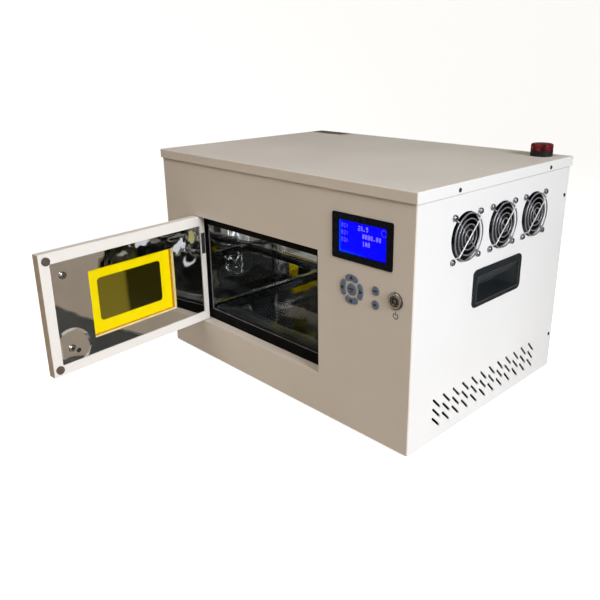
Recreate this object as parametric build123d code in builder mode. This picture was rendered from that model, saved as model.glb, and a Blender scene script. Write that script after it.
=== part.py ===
from build123d import *
import os
from math import cos, sin, radians

os.makedirs("parts", exist_ok=True)

# ---------------------------------------------------------------- sizes, mm
# Bench-top light curing box. X to the right, Y to the back, Z up.
# Origin: centre of the footprint, on the surface that the feet stand on.

CAB_W = 466.0          # cabinet width, side panel to side panel
CAB_D = 331.0          # cabinet depth, front panel to rear panel
CAB_H = 303.0          # underside of the cabinet to the top of the cover
FOOT_H = 3.0           # low rubber feet
SHEET = 1.5            # cabinet sheet steel

XL, XR = -CAB_W / 2, CAB_W / 2
YF, YB = -CAB_D / 2, CAB_D / 2
ZB, ZT = FOOT_H, FOOT_H + CAB_H

COVER_T = 1.8          # top cover sheet
COVER_GAP = 0.6        # cover skirt to panel
COVER_SKIRT = 12.2     # depth of the skirt from the top face
PANEL_TOP = ZT - COVER_T

# door opening in the front panel
OPEN_L, OPEN_R = XL + 66.2, XL + 324.8
OPEN_B, OPEN_T = ZB + 54.2, ZB + 215.0
JAMB_D = 15.3          # depth of the folded return round the opening

# door: frame of its own, s along the door from the pivot, t through it
DOOR_OPEN = 83.7       # degrees open in the rest pose
PIVOT_X, PIVOT_Y = XL + 74.2, YF + 6.0
DOOR_S0, DOOR_S1 = -4.2, 249.8
DOOR_T0, DOOR_T1 = -6.0, 6.4
DOOR_B, DOOR_T = ZB + 55.2, ZB + 214.0
DOOR_SHEET = 1.2
BORDER_HINGE, BORDER_FREE = 8.4, 13.0
BORDER_TOP, BORDER_BOTTOM = 13.9, 13.0
WIN_S, WIN_Z = 121.3, ZB + 133.8          # window centre
WIN_W, WIN_H, WIN_R = 99.5, 58.4, 5.0     # see-through aperture
POCKET_W, POCKET_H = 132.7, 90.0          # pocket cut in the mirror panel
MIRROR_T = 0.8
ACRYLIC_T = 5.0
HANDLE_S, HANDLE_Z = 221.3, ZB + 134.4
HANDLE_PITCH = 96.0
PIN_R = 2.0
BUSH_BORE_R = 2.05

# chamber
MOUTH_L, MOUTH_R = XL + 79.8, XL + 308.2
MOUTH_B, MOUTH_T = ZB + 68.3, ZB + 200.6
LIP = 0.7
CH_L, CH_R = XL + 79.0, XL + 309.0
CH_B, CH_T = ZB + 67.5, ZB + 201.5
CH_F, CH_BK = YF + 18.8, YF + 272.0
LINER_T = 1.2
LAMP_X, LAMP_Y = -39.0, -20.0

# display and keys on the front panel
DISP_X, DISP_Z = XL + 393.4, ZB + 239.5
BEZEL_W, BEZEL_H = 88.6, 53.5
VIEW_W, VIEW_H = 70.9, 38.0
KEY_X, KEY_Z = XL + 379.4, ZB + 179.3
KEY_PITCH = 13.8
KEY_BAND = 7.4
KEY_SPREAD = 25.0      # half the sweep of an arc key's centre line, degrees
ENTER_R = 7.0
AUX_X, AUX_Z1, AUX_Z2, AUX_R = XL + 414.8, ZB + 186.3, ZB + 170.0, 5.1
START_X, START_Z = XL + 443.0, ZB + 182.1
START_R = 9.6

# right side
FAN_Y = [YF + 91.8, YF + 167.2, YF + 242.6]
FAN_Z = ZB + 240.0
FAN_SIZE, FAN_PITCH, FAN_BORE_R, FAN_DEPTH = 60.0, 50.0, 28.5, 25.0
GRIP_Y, GRIP_Z = YF + 166.3, ZB + 171.1
GRIP_W, GRIP_H = 108.0, 46.8
SLOT_Y0, SLOT_STEP_Y, SLOT_COLS = YF + 53.4, 20.0, 12
SLOT_Z0, SLOT_STEP_Z, SLOT_ROWS = ZB + 22.3, 12.1, 3
SLOT_LEN, SLOT_W = 22.3, 3.1

BEACON_X, BEACON_Y, BEACON_R = XL + 436.1, YF + 307.3, 14.3

INLET_X, INLET_Z = 150.0, 48.0
ROCKER_X, ROCKER_Z = 105.0, 48.0


def front(y):
    """Plane facing the front at depth y: local x is X, local y is Z."""
    return Plane(origin=(0, y, 0), x_dir=(1, 0, 0), z_dir=(0, -1, 0))


def side(x):
    """Plane facing right at x: local x is Y, local y is Z."""
    return Plane(origin=(x, 0, 0), x_dir=(0, 1, 0), z_dir=(1, 0, 0))


A = radians(DOOR_OPEN)
DOOR_DIR = Vector(cos(A), -sin(A), 0)
DOOR_IN = Vector(sin(A), cos(A), 0)


def door_face(t):
    """Plane of the door at depth t, facing out: local x is s, local y is Z."""
    o = Vector(PIVOT_X, PIVOT_Y, 0) + DOOR_IN * t
    return Plane(origin=o, x_dir=DOOR_DIR, z_dir=-DOOR_IN)


def door_level(z):
    """Horizontal plane in the door's frame: local x is s, local y is t."""
    return Plane(origin=(PIVOT_X, PIVOT_Y, z), x_dir=DOOR_DIR, z_dir=(0, 0, 1))


def finish(builder, name):
    builder.part.label = name
    export_step(builder.part, f"parts/{name}.step")


def span(a, b):
    return (a + b) / 2


# centre line of one arc key, about the pad's centre
KEY_LINE = CenterArc((0, 0), KEY_PITCH, -KEY_SPREAD, 2 * KEY_SPREAD)


# ------------------------------------------------------------ cabinet sheet

# front panel with the folded return round the door opening
with BuildPart() as front_panel:
    with BuildSketch(front(YF)):
        with Locations((0, span(ZB, PANEL_TOP))):
            Rectangle(CAB_W, PANEL_TOP - ZB)
        with Locations((span(OPEN_L, OPEN_R), span(OPEN_B, OPEN_T))):
            Rectangle(OPEN_R - OPEN_L, OPEN_T - OPEN_B, mode=Mode.SUBTRACT)
        with Locations((DISP_X, DISP_Z)):
            Rectangle(84.6, 49.6, mode=Mode.SUBTRACT)
        with Locations((KEY_X, KEY_Z)):
            Circle(ENTER_R + 0.3, mode=Mode.SUBTRACT)
            for turn in (0, 90, 180, 270):
                SlotArc(KEY_LINE, KEY_BAND + 0.6, rotation=turn, mode=Mode.SUBTRACT)
        with Locations((AUX_X, AUX_Z1), (AUX_X, AUX_Z2)):
            Circle(AUX_R + 0.3, mode=Mode.SUBTRACT)
        with Locations((START_X, START_Z)):
            Circle(8.1, mode=Mode.SUBTRACT)
    extrude(amount=-SHEET)
    with BuildSketch(front(YF + SHEET)):
        with Locations((span(OPEN_L, OPEN_R), span(OPEN_B, OPEN_T))):
            Rectangle(OPEN_R - OPEN_L + 2 * SHEET, OPEN_T - OPEN_B + 2 * SHEET)
            Rectangle(OPEN_R - OPEN_L, OPEN_T - OPEN_B, mode=Mode.SUBTRACT)
    extrude(amount=-(JAMB_D - SHEET))
    # holes for the two pivot bushes
    with BuildSketch(Plane.XY.offset(OPEN_B - 5)):
        with Locations((PIVOT_X, PIVOT_Y)):
            Circle(3.25)
    extrude(amount=OPEN_T - OPEN_B + 10, mode=Mode.SUBTRACT)
    outer_edges = front_panel.edges().filter_by(Axis.Z).group_by(Axis.Y)[0]
    fillet(outer_edges.sort_by(Axis.X)[0], 1.1)
    outer_edges = front_panel.edges().filter_by(Axis.Z).group_by(Axis.Y)[0]
    fillet(outer_edges.sort_by(Axis.X)[-1], 1.1)
finish(front_panel, "front_panel")


# side panels: fan bores on the right only, slots and grip on both
def side_holes(with_fans):
    with Locations((span(YF + SHEET, YB), span(ZB, PANEL_TOP))):
        Rectangle(CAB_D - SHEET, PANEL_TOP - ZB)
    with Locations((GRIP_Y, GRIP_Z)):
        RectangleRounded(100.6, 39.6, 4.3, mode=Mode.SUBTRACT)
    with Locations(*[(SLOT_Y0 + i * SLOT_STEP_Y, SLOT_Z0 + j * SLOT_STEP_Z)
                     for i in range(SLOT_COLS) for j in range(SLOT_ROWS)]):
        SlotOverall(SLOT_LEN, SLOT_W, rotation=-45, mode=Mode.SUBTRACT)
    with Locations((YF + 70.6, ZB + 295.1), (YF + 272.1, ZB + 295.1),
                   (YF + 323.5, ZB + 252.1), (YF + 323.5, ZB + 50.6)):
        Circle(1.6, mode=Mode.SUBTRACT)
    if with_fans:
        for fy in FAN_Y:
            with Locations((fy, FAN_Z)):
                Circle(FAN_BORE_R, mode=Mode.SUBTRACT)
                with GridLocations(FAN_PITCH, FAN_PITCH, 2, 2):
                    Circle(2.2, mode=Mode.SUBTRACT)


with BuildPart() as side_panel_right:
    with BuildSketch(side(XR - SHEET)):
        side_holes(True)
    extrude(amount=SHEET)
finish(side_panel_right, "side_panel_right")

with BuildPart() as side_panel_left:
    with BuildSketch(side(XL)):
        side_holes(False)
    extrude(amount=SHEET)
finish(side_panel_left, "side_panel_left")

# rear panel with two side flanges that take the side screws
with BuildPart() as rear_panel:
    with BuildSketch(front(YB)):
        with Locations((0, span(ZB, PANEL_TOP))):
            Rectangle(CAB_W - 2 * SHEET, PANEL_TOP - ZB)
        with Locations((INLET_X, INLET_Z)):
            Rectangle(28.0, 20.6, mode=Mode.SUBTRACT)
            with GridLocations(40.0, 1, 2, 1):
                Circle(1.7, mode=Mode.SUBTRACT)
        with Locations((ROCKER_X, ROCKER_Z)):
            Rectangle(13.4, 19.4, mode=Mode.SUBTRACT)
        with Locations((-110, 255)):
            with GridLocations(1, 9.0, 1, 5):
                SlotOverall(120, 4.0, mode=Mode.SUBTRACT)
    extrude(amount=SHEET)
    for sx in (-1, 1):
        with BuildSketch(Plane.XY.offset(ZB + 7)):
            with Locations((sx * (CAB_W / 2 - 1.5 * SHEET), YB - SHEET - 7)):
                Rectangle(SHEET, 14)
        extrude(amount=285)
        with BuildSketch(side(sx * (CAB_W / 2 - SHEET) - (SHEET + 1 if sx > 0 else 1))):
            with Locations((YF + 323.5, ZB + 252.1), (YF + 323.5, ZB + 50.6)):
                Circle(1.55)
        extrude(amount=SHEET + 2, mode=Mode.SUBTRACT)
finish(rear_panel, "rear_panel")

# base pan with upturned flanges; a foot near each corner and one in the middle
FOOT_SPOTS = [(-193, -126), (193, -126), (193, 126), (-193, 126), (0, 0)]
with BuildPart() as base_pan:
    with BuildSketch(Plane.XY.offset(ZB)):
        with Locations((0, 0)):
            Rectangle(CAB_W - 2 * SHEET - 0.2, CAB_D - 2 * SHEET - 0.2)
    extrude(amount=4.0 + 1.5)
    with BuildSketch(Plane.XY.offset(ZB + 1.5)):
        Rectangle(CAB_W - 2 * SHEET - 0.2 - 3.0, CAB_D - 2 * SHEET - 0.2 - 3.0)
    extrude(amount=4.0, mode=Mode.SUBTRACT)
    with BuildSketch(Plane.XY.offset(ZB - 1)):
        with Locations(*FOOT_SPOTS):
            Circle(2.0)
    extrude(amount=4, mode=Mode.SUBTRACT)
finish(base_pan, "base_pan")

with BuildPart() as rubber_feet:
    with BuildSketch(Plane.XY.offset(FOOT_H)):
        with Locations(*FOOT_SPOTS):
            Circle(9.0)
    extrude(amount=-FOOT_H, taper=12)
    with BuildSketch(Plane.XY.offset(FOOT_H)):
        with Locations(*FOOT_SPOTS):
            Circle(1.9)
    extrude(amount=1.4)
finish(rubber_feet, "rubber_feet")

# cap-shaped top cover whose skirt overlaps the panels all round
OVER = COVER_GAP + COVER_T
with BuildPart() as top_cover:
    with BuildSketch(Plane.XY.offset(ZT - COVER_SKIRT)):
        Rectangle(CAB_W + 2 * OVER, CAB_D + 2 * OVER)
    extrude(amount=COVER_SKIRT)
    fillet(top_cover.edges().filter_by(Axis.Z), 1.6)
    fillet(top_cover.faces().sort_by(Axis.Z)[-1].edges(), 1.2)
    with BuildSketch(Plane.XY.offset(ZT - COVER_SKIRT)):
        Rectangle(CAB_W + 2 * COVER_GAP, CAB_D + 2 * COVER_GAP)
    extrude(amount=COVER_SKIRT - COVER_T, mode=Mode.SUBTRACT)
    with BuildSketch(side(-(CAB_W / 2 + 5))):
        with Locations((YF + 70.6, ZB + 295.1), (YF + 272.1, ZB + 295.1)):
            Circle(1.6)
    extrude(amount=CAB_W + 10, mode=Mode.SUBTRACT)
    with BuildSketch(Plane.XY.offset(ZT - 5)):
        with Locations((BEACON_X, BEACON_Y)):
            Circle(5.2)
    extrude(amount=10, mode=Mode.SUBTRACT)
finish(top_cover, "top_cover")

# black low-head screws, two each side through the cover skirt
with BuildPart() as top_cover_screws:
    for sx in (-1, 1):
        head = side(sx * (CAB_W / 2 + OVER))
        for yy in (YF + 70.6, YF + 272.1):
            with BuildSketch(head):
                with Locations((yy, ZB + 295.1)):
                    Circle(2.6)
            extrude(amount=sx * 1.1)
            with BuildSketch(head):
                with Locations((yy, ZB + 295.1)):
                    Circle(1.5)
            extrude(amount=-sx * 8.0)
finish(top_cover_screws, "top_cover_screws")

with BuildPart() as rear_panel_screws:
    for sx in (-1, 1):
        head = side(sx * CAB_W / 2)
        for zz in (ZB + 252.1, ZB + 50.6):
            with BuildSketch(head):
                with Locations((YF + 323.5, zz)):
                    Circle(2.6)
            extrude(amount=sx * 1.1)
            with BuildSketch(head):
                with Locations((YF + 323.5, zz)):
                    Circle(1.45)
            extrude(amount=-sx * 7.0)
finish(rear_panel_screws, "rear_panel_screws")

# ------------------------------------------------------------- carry handles

# moulded recessed grip: thin flange, deep pocket, sloping lip over the top
GRIP_POCKET = [(2.1, -17.5), (-32.0, -17.5), (-32.0, 17.5), (-6.0, 17.5),
               (-12.6, 1.2), (-10.4, -0.6), (2.1, 15.5)]
with BuildPart() as carry_handle_right:
    with BuildSketch(side(XR)):
        with Locations((GRIP_Y, GRIP_Z)):
            RectangleRounded(GRIP_W, GRIP_H, 7.0)
    extrude(amount=2.0)
    fillet(carry_handle_right.faces().sort_by(Axis.X)[-1].edges(), 0.9)
    with BuildSketch(side(XR)):
        with Locations((GRIP_Y, GRIP_Z)):
            RectangleRounded(100.0, 39.0, 4.0)
    extrude(amount=-34.0)
    with BuildSketch(front(GRIP_Y + 47.5)):
        with BuildLine():
            Polyline(*[(XR + u, GRIP_Z + v) for u, v in GRIP_POCKET], close=True)
        make_face()
    extrude(amount=95.0, mode=Mode.SUBTRACT)
finish(carry_handle_right, "carry_handle_right")

with BuildPart() as carry_handle_left:
    add(mirror(carry_handle_right.part, about=Plane.YZ))
finish(carry_handle_left, "carry_handle_left")

# ---------------------------------------------------------------------- fans

with BuildPart() as fan_housings:
    for fy in FAN_Y:
        with BuildSketch(side(XR - SHEET - FAN_DEPTH)):
            with Locations((fy, FAN_Z)):
                RectangleRounded(FAN_SIZE, FAN_SIZE, 4.0)
                Circle(FAN_BORE_R, mode=Mode.SUBTRACT)
                with GridLocations(FAN_PITCH, FAN_PITCH, 2, 2):
                    Circle(2.2, mode=Mode.SUBTRACT)
        extrude(amount=FAN_DEPTH)
        # motor seat and its three struts at the inner end
        with BuildSketch(side(XR - SHEET - FAN_DEPTH)):
            with Locations((fy, FAN_Z)):
                Circle(14.0)
                with PolarLocations(20.5, 3, start_angle=30):
                    Rectangle(17.5, 3.0)
        extrude(amount=3.0)
        with BuildSketch(side(XR - SHEET - FAN_DEPTH - 1)):
            with Locations((fy, FAN_Z)):
                Circle(1.55)
        extrude(amount=6.0, mode=Mode.SUBTRACT)
finish(fan_housings, "fan_housings")

ROTOR_X0 = XR - SHEET - FAN_DEPTH + 3.6
for fan_name, fy in zip(("front", "middle", "rear"), FAN_Y):
    with BuildPart() as fan_rotor:
        with BuildSketch(side(ROTOR_X0)):
            with Locations((fy, FAN_Z)):
                Circle(14.5)
        extrude(amount=18.0)
        fillet(fan_rotor.faces().sort_by(Axis.X)[-1].edges(), 1.5)
        # seven pitched blades
        for k in range(7):
            ang = radians(360 / 7 * k)
            radial = Vector(0, cos(ang), sin(ang))
            along = Vector(0, -sin(ang), cos(ang))
            hub_end = Vector(ROTOR_X0 + 9.0, fy, FAN_Z) + radial * 13.6
            chord = Vector(1, 0, 0) * cos(radians(38)) + along * sin(radians(38))
            with BuildSketch(Plane(origin=hub_end, x_dir=chord, z_dir=radial)):
                SlotOverall(19.0, 1.5)
            extrude(amount=13.0)
        # spindle that turns in the motor seat
        with BuildSketch(side(ROTOR_X0)):
            with Locations((fy, FAN_Z)):
                Circle(1.5)
        extrude(amount=-3.4)
    finish(fan_rotor, f"fan_rotor_{fan_name}")

# wire finger guards: four rings on two crossed legs, eyes under the screws
GUARD_X = XR + 4.0
with BuildPart() as one_guard:
    with Locations(Plane(origin=(GUARD_X, FAN_Y[0], FAN_Z), x_dir=(0, 1, 0), z_dir=(1, 0, 0))):
        for r in (27.0, 20.7, 14.4, 8.1):
            Torus(r, 0.8)
    # one leg runs in front of the rings, the other behind them
    for turn, lift in ((45, 1.4), (135, -1.4)):
        d = Vector(0, cos(radians(turn)), sin(radians(turn)))
        c = Vector(GUARD_X + lift, FAN_Y[0], FAN_Z)
        foot = Vector(XR + 0.85, FAN_Y[0], FAN_Z)
        with BuildLine():
            leg = Polyline(foot + d * -32.6, foot + d * -30.4, c + d * -27.6,
                           c + d * 27.6, foot + d * 30.4, foot + d * 32.6)
        with BuildSketch(Plane(origin=leg @ 0, z_dir=leg % 0)):
            Circle(0.8)
        sweep(path=leg, transition=Transition.RIGHT)
        for end in (-1, 1):
            p = foot + d * end * FAN_PITCH * 0.70711
            with Locations(Plane(origin=p, x_dir=(0, 1, 0), z_dir=(1, 0, 0))):
                Torus(3.1, 0.8)

with BuildPart() as finger_guards:
    with Locations(*[(0, fy - FAN_Y[0], 0) for fy in FAN_Y]):
        add(one_guard.part)
finish(finger_guards, "finger_guards")

with BuildPart() as fan_screws:
    for fy in FAN_Y:
        with BuildSketch(side(XR + 1.7)):
            with Locations((fy, FAN_Z)):
                with GridLocations(FAN_PITCH, FAN_PITCH, 2, 2):
                    Circle(3.6)
        extrude(amount=2.0, taper=25)
        with BuildSketch(side(XR + 1.7)):
            with Locations((fy, FAN_Z)):
                with GridLocations(FAN_PITCH, FAN_PITCH, 2, 2):
                    Circle(1.9)
        extrude(amount=-14.0)
finish(fan_screws, "fan_screws")

# --------------------------------------------------------- chamber and frame

with BuildPart() as door_gasket:
    with BuildSketch(front(YF + JAMB_D)):
        with Locations((span(OPEN_L, OPEN_R), span(OPEN_B, OPEN_T))):
            Rectangle(OPEN_R - OPEN_L + 20, OPEN_T - OPEN_B + 20)
        with Locations((span(MOUTH_L, MOUTH_R), span(MOUTH_B, MOUTH_T))):
            Rectangle(MOUTH_R - MOUTH_L, MOUTH_T - MOUTH_B, mode=Mode.SUBTRACT)
    extrude(amount=-2.0)
finish(door_gasket, "door_gasket")

with BuildPart() as chamber_face_frame:
    with BuildSketch(front(YF + JAMB_D + 2.0)):
        with Locations((span(OPEN_L, OPEN_R), span(OPEN_B, OPEN_T))):
            Rectangle(OPEN_R - OPEN_L + 36, OPEN_T - OPEN_B + 36)
        with Locations((span(MOUTH_L, MOUTH_R), span(MOUTH_B, MOUTH_T))):
            Rectangle(MOUTH_R - MOUTH_L - 2 * LIP, MOUTH_T - MOUTH_B - 2 * LIP,
                      mode=Mode.SUBTRACT)
    extrude(amount=-SHEET)
finish(chamber_face_frame, "chamber_face_frame")

# five-sided polished liner, open to the front, lamp aperture in its roof
with BuildPart() as chamber_liner:
    with BuildSketch(front(CH_F)):
        with Locations((span(CH_L, CH_R), span(CH_B, CH_T))):
            Rectangle(CH_R - CH_L + 2 * LINER_T, CH_T - CH_B + 2 * LINER_T)
    extrude(amount=-(CH_BK - CH_F + LINER_T))
    with BuildSketch(front(CH_F)):
        with Locations((span(CH_L, CH_R), span(CH_B, CH_T))):
            Rectangle(CH_R - CH_L, CH_T - CH_B)
    extrude(amount=-(CH_BK - CH_F), mode=Mode.SUBTRACT)
    with BuildSketch(Plane.XY.offset(CH_T - 2)):
        with Locations((LAMP_X, LAMP_Y)):
            Rectangle(160, 110)
    extrude(amount=6, mode=Mode.SUBTRACT)
finish(chamber_liner, "chamber_liner")

SUPPORT_H = CH_B - LINER_T - (ZB + 1.5)
with BuildPart() as chamber_supports:
    for cx in (CH_L + 14, CH_R - 14):
        with BuildSketch(front(-140)):
            with Locations((cx, ZB + 1.5 + SUPPORT_H / 2)):
                Rectangle(24, SUPPORT_H)
            with Locations((cx + 1.5, ZB + 1.5 + SUPPORT_H / 2)):
                Rectangle(24, SUPPORT_H - 3, mode=Mode.SUBTRACT)
        extrude(amount=-235)
finish(chamber_supports, "chamber_supports")

# loose tray: a shallow dish over the chamber floor, its rim sloping down to the flat middle
TRAY_H, TRAY_FLOOR = 4.5, 1.0
with BuildPart() as sample_tray:
    with BuildSketch(Plane.XY.offset(CH_B)):
        with Locations((span(CH_L, CH_R), -20)):
            RectangleRounded(226, 248, 5)
    extrude(amount=TRAY_H)
    fillet(sample_tray.faces().sort_by(Axis.Z)[-1].edges(), 1.0)
    with BuildSketch(Plane.XY.offset(CH_B + TRAY_FLOOR)):
        with Locations((span(CH_L, CH_R), -15)):
            RectangleRounded(190, 202, 14)
    with BuildSketch(Plane.XY.offset(CH_B + TRAY_H)):
        with Locations((span(CH_L, CH_R), -20)):
            RectangleRounded(223, 245, 4)
    loft(mode=Mode.SUBTRACT)
finish(sample_tray, "sample_tray")

# ---------------------------------------------------------------------- lamp
LAMP_B = CH_T + LINER_T
with BuildPart() as quartz_window:
    with BuildSketch(Plane.XY.offset(LAMP_B)):
        with Locations((LAMP_X, LAMP_Y)):
            Rectangle(176, 126)
    extrude(amount=3)
finish(quartz_window, "quartz_window")

with BuildPart() as lamp_frame:
    with BuildSketch(Plane.XY.offset(LAMP_B)):
        with Locations((LAMP_X, LAMP_Y)):
            Rectangle(200, 150)
            Rectangle(176.4, 126.4, mode=Mode.SUBTRACT)
    extrude(amount=3.1)
    with BuildSketch(Plane.XY.offset(LAMP_B + 3.1)):
        with Locations((LAMP_X, LAMP_Y)):
            Rectangle(200, 150)
            Rectangle(166, 116, mode=Mode.SUBTRACT)
    extrude(amount=9.9)
finish(lamp_frame, "lamp_frame")

with BuildPart() as led_board:
    with BuildSketch(Plane.XY.offset(LAMP_B + 13)):
        with Locations((LAMP_X, LAMP_Y)):
            Rectangle(200, 150)
    extrude(amount=2)
finish(led_board, "led_board")

with BuildPart() as led_emitters:
    with BuildSketch(Plane.XY.offset(LAMP_B + 13)):
        with Locations((LAMP_X, LAMP_Y)):
            with GridLocations(22, 22, 7, 5):
                Rectangle(7, 7)
    extrude(amount=-1.5)
finish(led_emitters, "led_emitters")

with BuildPart() as led_heatsink:
    with BuildSketch(Plane.XY.offset(LAMP_B + 15)):
        with Locations((LAMP_X, LAMP_Y)):
            Rectangle(200, 150)
    extrude(amount=6)
    with BuildSketch(Plane.XY.offset(LAMP_B + 21)):
        with Locations((LAMP_X, LAMP_Y)):
            with GridLocations(1, 8.2, 1, 19):
                Rectangle(200, 2)
    extrude(amount=34)
finish(led_heatsink, "led_heatsink")

# ------------------------------------------------------ display and controls

with BuildPart() as display_bezel:
    with BuildSketch(front(YF)):
        with Locations((DISP_X, DISP_Z)):
            RectangleRounded(BEZEL_W, BEZEL_H, 2.6)
            Rectangle(VIEW_W, VIEW_H, mode=Mode.SUBTRACT)
    extrude(amount=1.2)
    fillet(display_bezel.faces().sort_by(Axis.Y)[0].outer_wire().edges(), 0.6)
    with BuildSketch(front(YF)):
        with Locations((DISP_X, DISP_Z)):
            Rectangle(84.0, 49.0)
            Rectangle(VIEW_W, VIEW_H, mode=Mode.SUBTRACT)
    extrude(amount=-5.5)
finish(display_bezel, "display_bezel")

with BuildPart() as display_lens:
    with BuildSketch(front(YF - 0.3)):
        with Locations((DISP_X, DISP_Z)):
            Rectangle(VIEW_W - 0.2, VIEW_H - 0.2)
    extrude(amount=-1.5)
finish(display_lens, "display_lens")

with BuildPart() as display_module:
    with BuildSketch(front(YF + 1.2)):
        with Locations((DISP_X, DISP_Z)):
            Rectangle(VIEW_W - 0.6, VIEW_H - 0.6)
    extrude(amount=-4.3)
    with BuildSketch(front(YF + 5.5)):
        with Locations((DISP_X, DISP_Z)):
            Rectangle(86, 52)
    extrude(amount=-7.0)
finish(display_module, "display_module")

BOARD_Y = YF + 16.0
KEY_SPOTS = [(KEY_X, KEY_Z), (KEY_X, KEY_Z + KEY_PITCH), (KEY_X, KEY_Z - KEY_PITCH),
             (KEY_X - KEY_PITCH, KEY_Z), (KEY_X + KEY_PITCH, KEY_Z),
             (AUX_X, AUX_Z1), (AUX_X, AUX_Z2)]
with BuildPart() as control_board:
    with BuildSketch(front(BOARD_Y)):
        with Locations((XL + 390, ZB + 212)):
            Rectangle(80, 124)
    extrude(amount=-1.6)
    with BuildSketch(front(BOARD_Y)):
        with Locations(*KEY_SPOTS):
            Rectangle(6, 6)
    extrude(amount=3.2)
    with BuildSketch(front(BOARD_Y)):
        with Locations((DISP_X, DISP_Z)):
            Rectangle(70, 8)
    extrude(amount=3.5)
finish(control_board, "control_board")

# key caps: face a little proud of the panel, flange and stem behind it
KEY_FACE, KEY_BACK = YF - 1.0, YF + SHEET + 0.3
KEY_STEM = BOARD_Y - 3.2 - 1.2


with BuildPart() as key_enter:
    with BuildSketch(front(KEY_BACK)):
        with Locations((KEY_X, KEY_Z)):
            Circle(ENTER_R)
    extrude(amount=KEY_BACK - KEY_FACE)
    fillet(key_enter.faces().sort_by(Axis.Y)[0].edges(), 0.5)
    with BuildSketch(front(KEY_BACK)):
        with Locations((KEY_X, KEY_Z)):
            Circle(ENTER_R + 0.7)
    extrude(amount=-0.9)
    with BuildSketch(front(KEY_BACK + 0.9)):
        with Locations((KEY_X, KEY_Z)):
            Rectangle(4, 4)
    extrude(amount=-(KEY_STEM - KEY_BACK - 0.9))
finish(key_enter, "key_enter")

for key_name, turn in (("up", 90), ("down", 270), ("left", 180), ("right", 0)):
    with BuildPart() as key_arc:
        with BuildSketch(front(KEY_BACK)):
            with Locations((KEY_X, KEY_Z)):
                SlotArc(KEY_LINE, KEY_BAND, rotation=turn)
        extrude(amount=KEY_BACK - KEY_FACE)
        fillet(key_arc.faces().sort_by(Axis.Y)[0].edges(), 0.5)
        with BuildSketch(front(KEY_BACK)):
            with Locations((KEY_X, KEY_Z)):
                SlotArc(KEY_LINE, KEY_BAND + 1.2, rotation=turn)
        extrude(amount=-0.9)
        with BuildSketch(front(KEY_BACK + 0.9)):
            with Locations((KEY_X + KEY_PITCH * cos(radians(turn)),
                            KEY_Z + KEY_PITCH * sin(radians(turn)))):
                Rectangle(4, 4)
        extrude(amount=-(KEY_STEM - KEY_BACK - 0.9))
    finish(key_arc, f"key_{key_name}")

for key_name, kz in (("upper", AUX_Z1), ("lower", AUX_Z2)):
    with BuildPart() as key_round:
        with BuildSketch(front(KEY_BACK)):
            with Locations((AUX_X, kz)):
                Circle(AUX_R)
        extrude(amount=KEY_BACK - KEY_FACE)
        fillet(key_round.faces().sort_by(Axis.Y)[0].edges(), 0.5)
        with BuildSketch(front(KEY_BACK)):
            with Locations((AUX_X, kz)):
                Circle(AUX_R + 0.7)
        extrude(amount=-0.9)
        with BuildSketch(front(KEY_BACK + 0.9)):
            with Locations((AUX_X, kz)):
                Rectangle(4, 4)
        extrude(amount=-(KEY_STEM - KEY_BACK - 0.9))
    finish(key_round, f"key_{key_name}_round")

# metal push button: ring, threaded barrel and nut; plunger inside
with BuildPart() as start_button_body:
    with BuildSketch(front(YF)):
        with Locations((START_X, START_Z)):
            Circle(START_R)
    extrude(amount=2.4)
    fillet(start_button_body.faces().sort_by(Axis.Y)[0].edges(), 1.1)
    with BuildSketch(front(YF)):
        with Locations((START_X, START_Z)):
            Circle(8.0)
    extrude(amount=-26)
    with BuildSketch(front(YF + SHEET)):
        with Locations((START_X, START_Z)):
            RegularPolygon(11.0, 6)
    extrude(amount=-3.5)
    with BuildSketch(front(YF - 3)):
        with Locations((START_X, START_Z)):
            Circle(6.3)
    extrude(amount=-23, mode=Mode.SUBTRACT)
finish(start_button_body, "start_button_body")

with BuildPart() as start_button:
    with BuildSketch(front(YF - 1.7)):
        with Locations((START_X, START_Z)):
            Circle(6.0)
    extrude(amount=-16)
    with BuildSketch(front(YF - 1.7)):
        with Locations((START_X, START_Z)):
            Circle(3.6)
            Circle(2.6, mode=Mode.SUBTRACT)
    extrude(amount=-0.4, mode=Mode.SUBTRACT)
finish(start_button, "start_button")

# -------------------------------------------------------------------- beacon

with BuildPart() as beacon_base:
    with BuildSketch(Plane.XY.offset(ZT)):
        with Locations((BEACON_X, BEACON_Y)):
            Circle(BEACON_R)
    extrude(amount=7.6)
    with BuildSketch(Plane.XY.offset(ZT)):
        with Locations((BEACON_X, BEACON_Y)):
            Circle(5.0)
    extrude(amount=-16)
    with BuildSketch(Plane.XY.offset(ZT - COVER_T)):
        with Locations((BEACON_X, BEACON_Y)):
            RegularPolygon(9.0, 6)
    extrude(amount=-4)
finish(beacon_base, "beacon_base")

with BuildPart() as beacon_lens:
    with BuildSketch(Plane.XY.offset(ZT + 7.6)):
        with Locations((BEACON_X, BEACON_Y)):
            Circle(BEACON_R - 0.1)
    extrude(amount=8.4)
    fillet(beacon_lens.faces().sort_by(Axis.Z)[-1].edges(), 2.2)
    with BuildSketch(Plane.XY.offset(ZT + 7.6)):
        with Locations((BEACON_X, BEACON_Y)):
            Circle(BEACON_R - 1.9)
    extrude(amount=6.6, mode=Mode.SUBTRACT)
finish(beacon_lens, "beacon_lens")

with BuildPart() as beacon_lamp:
    with BuildSketch(Plane.XY.offset(ZT + 7.6)):
        with Locations((BEACON_X, BEACON_Y)):
            Circle(4.0)
    extrude(amount=5.0)
    fillet(beacon_lamp.faces().sort_by(Axis.Z)[-1].edges(), 2.0)
finish(beacon_lamp, "beacon_lamp")

# ------------------------------------------------------- power, at the rear

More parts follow.
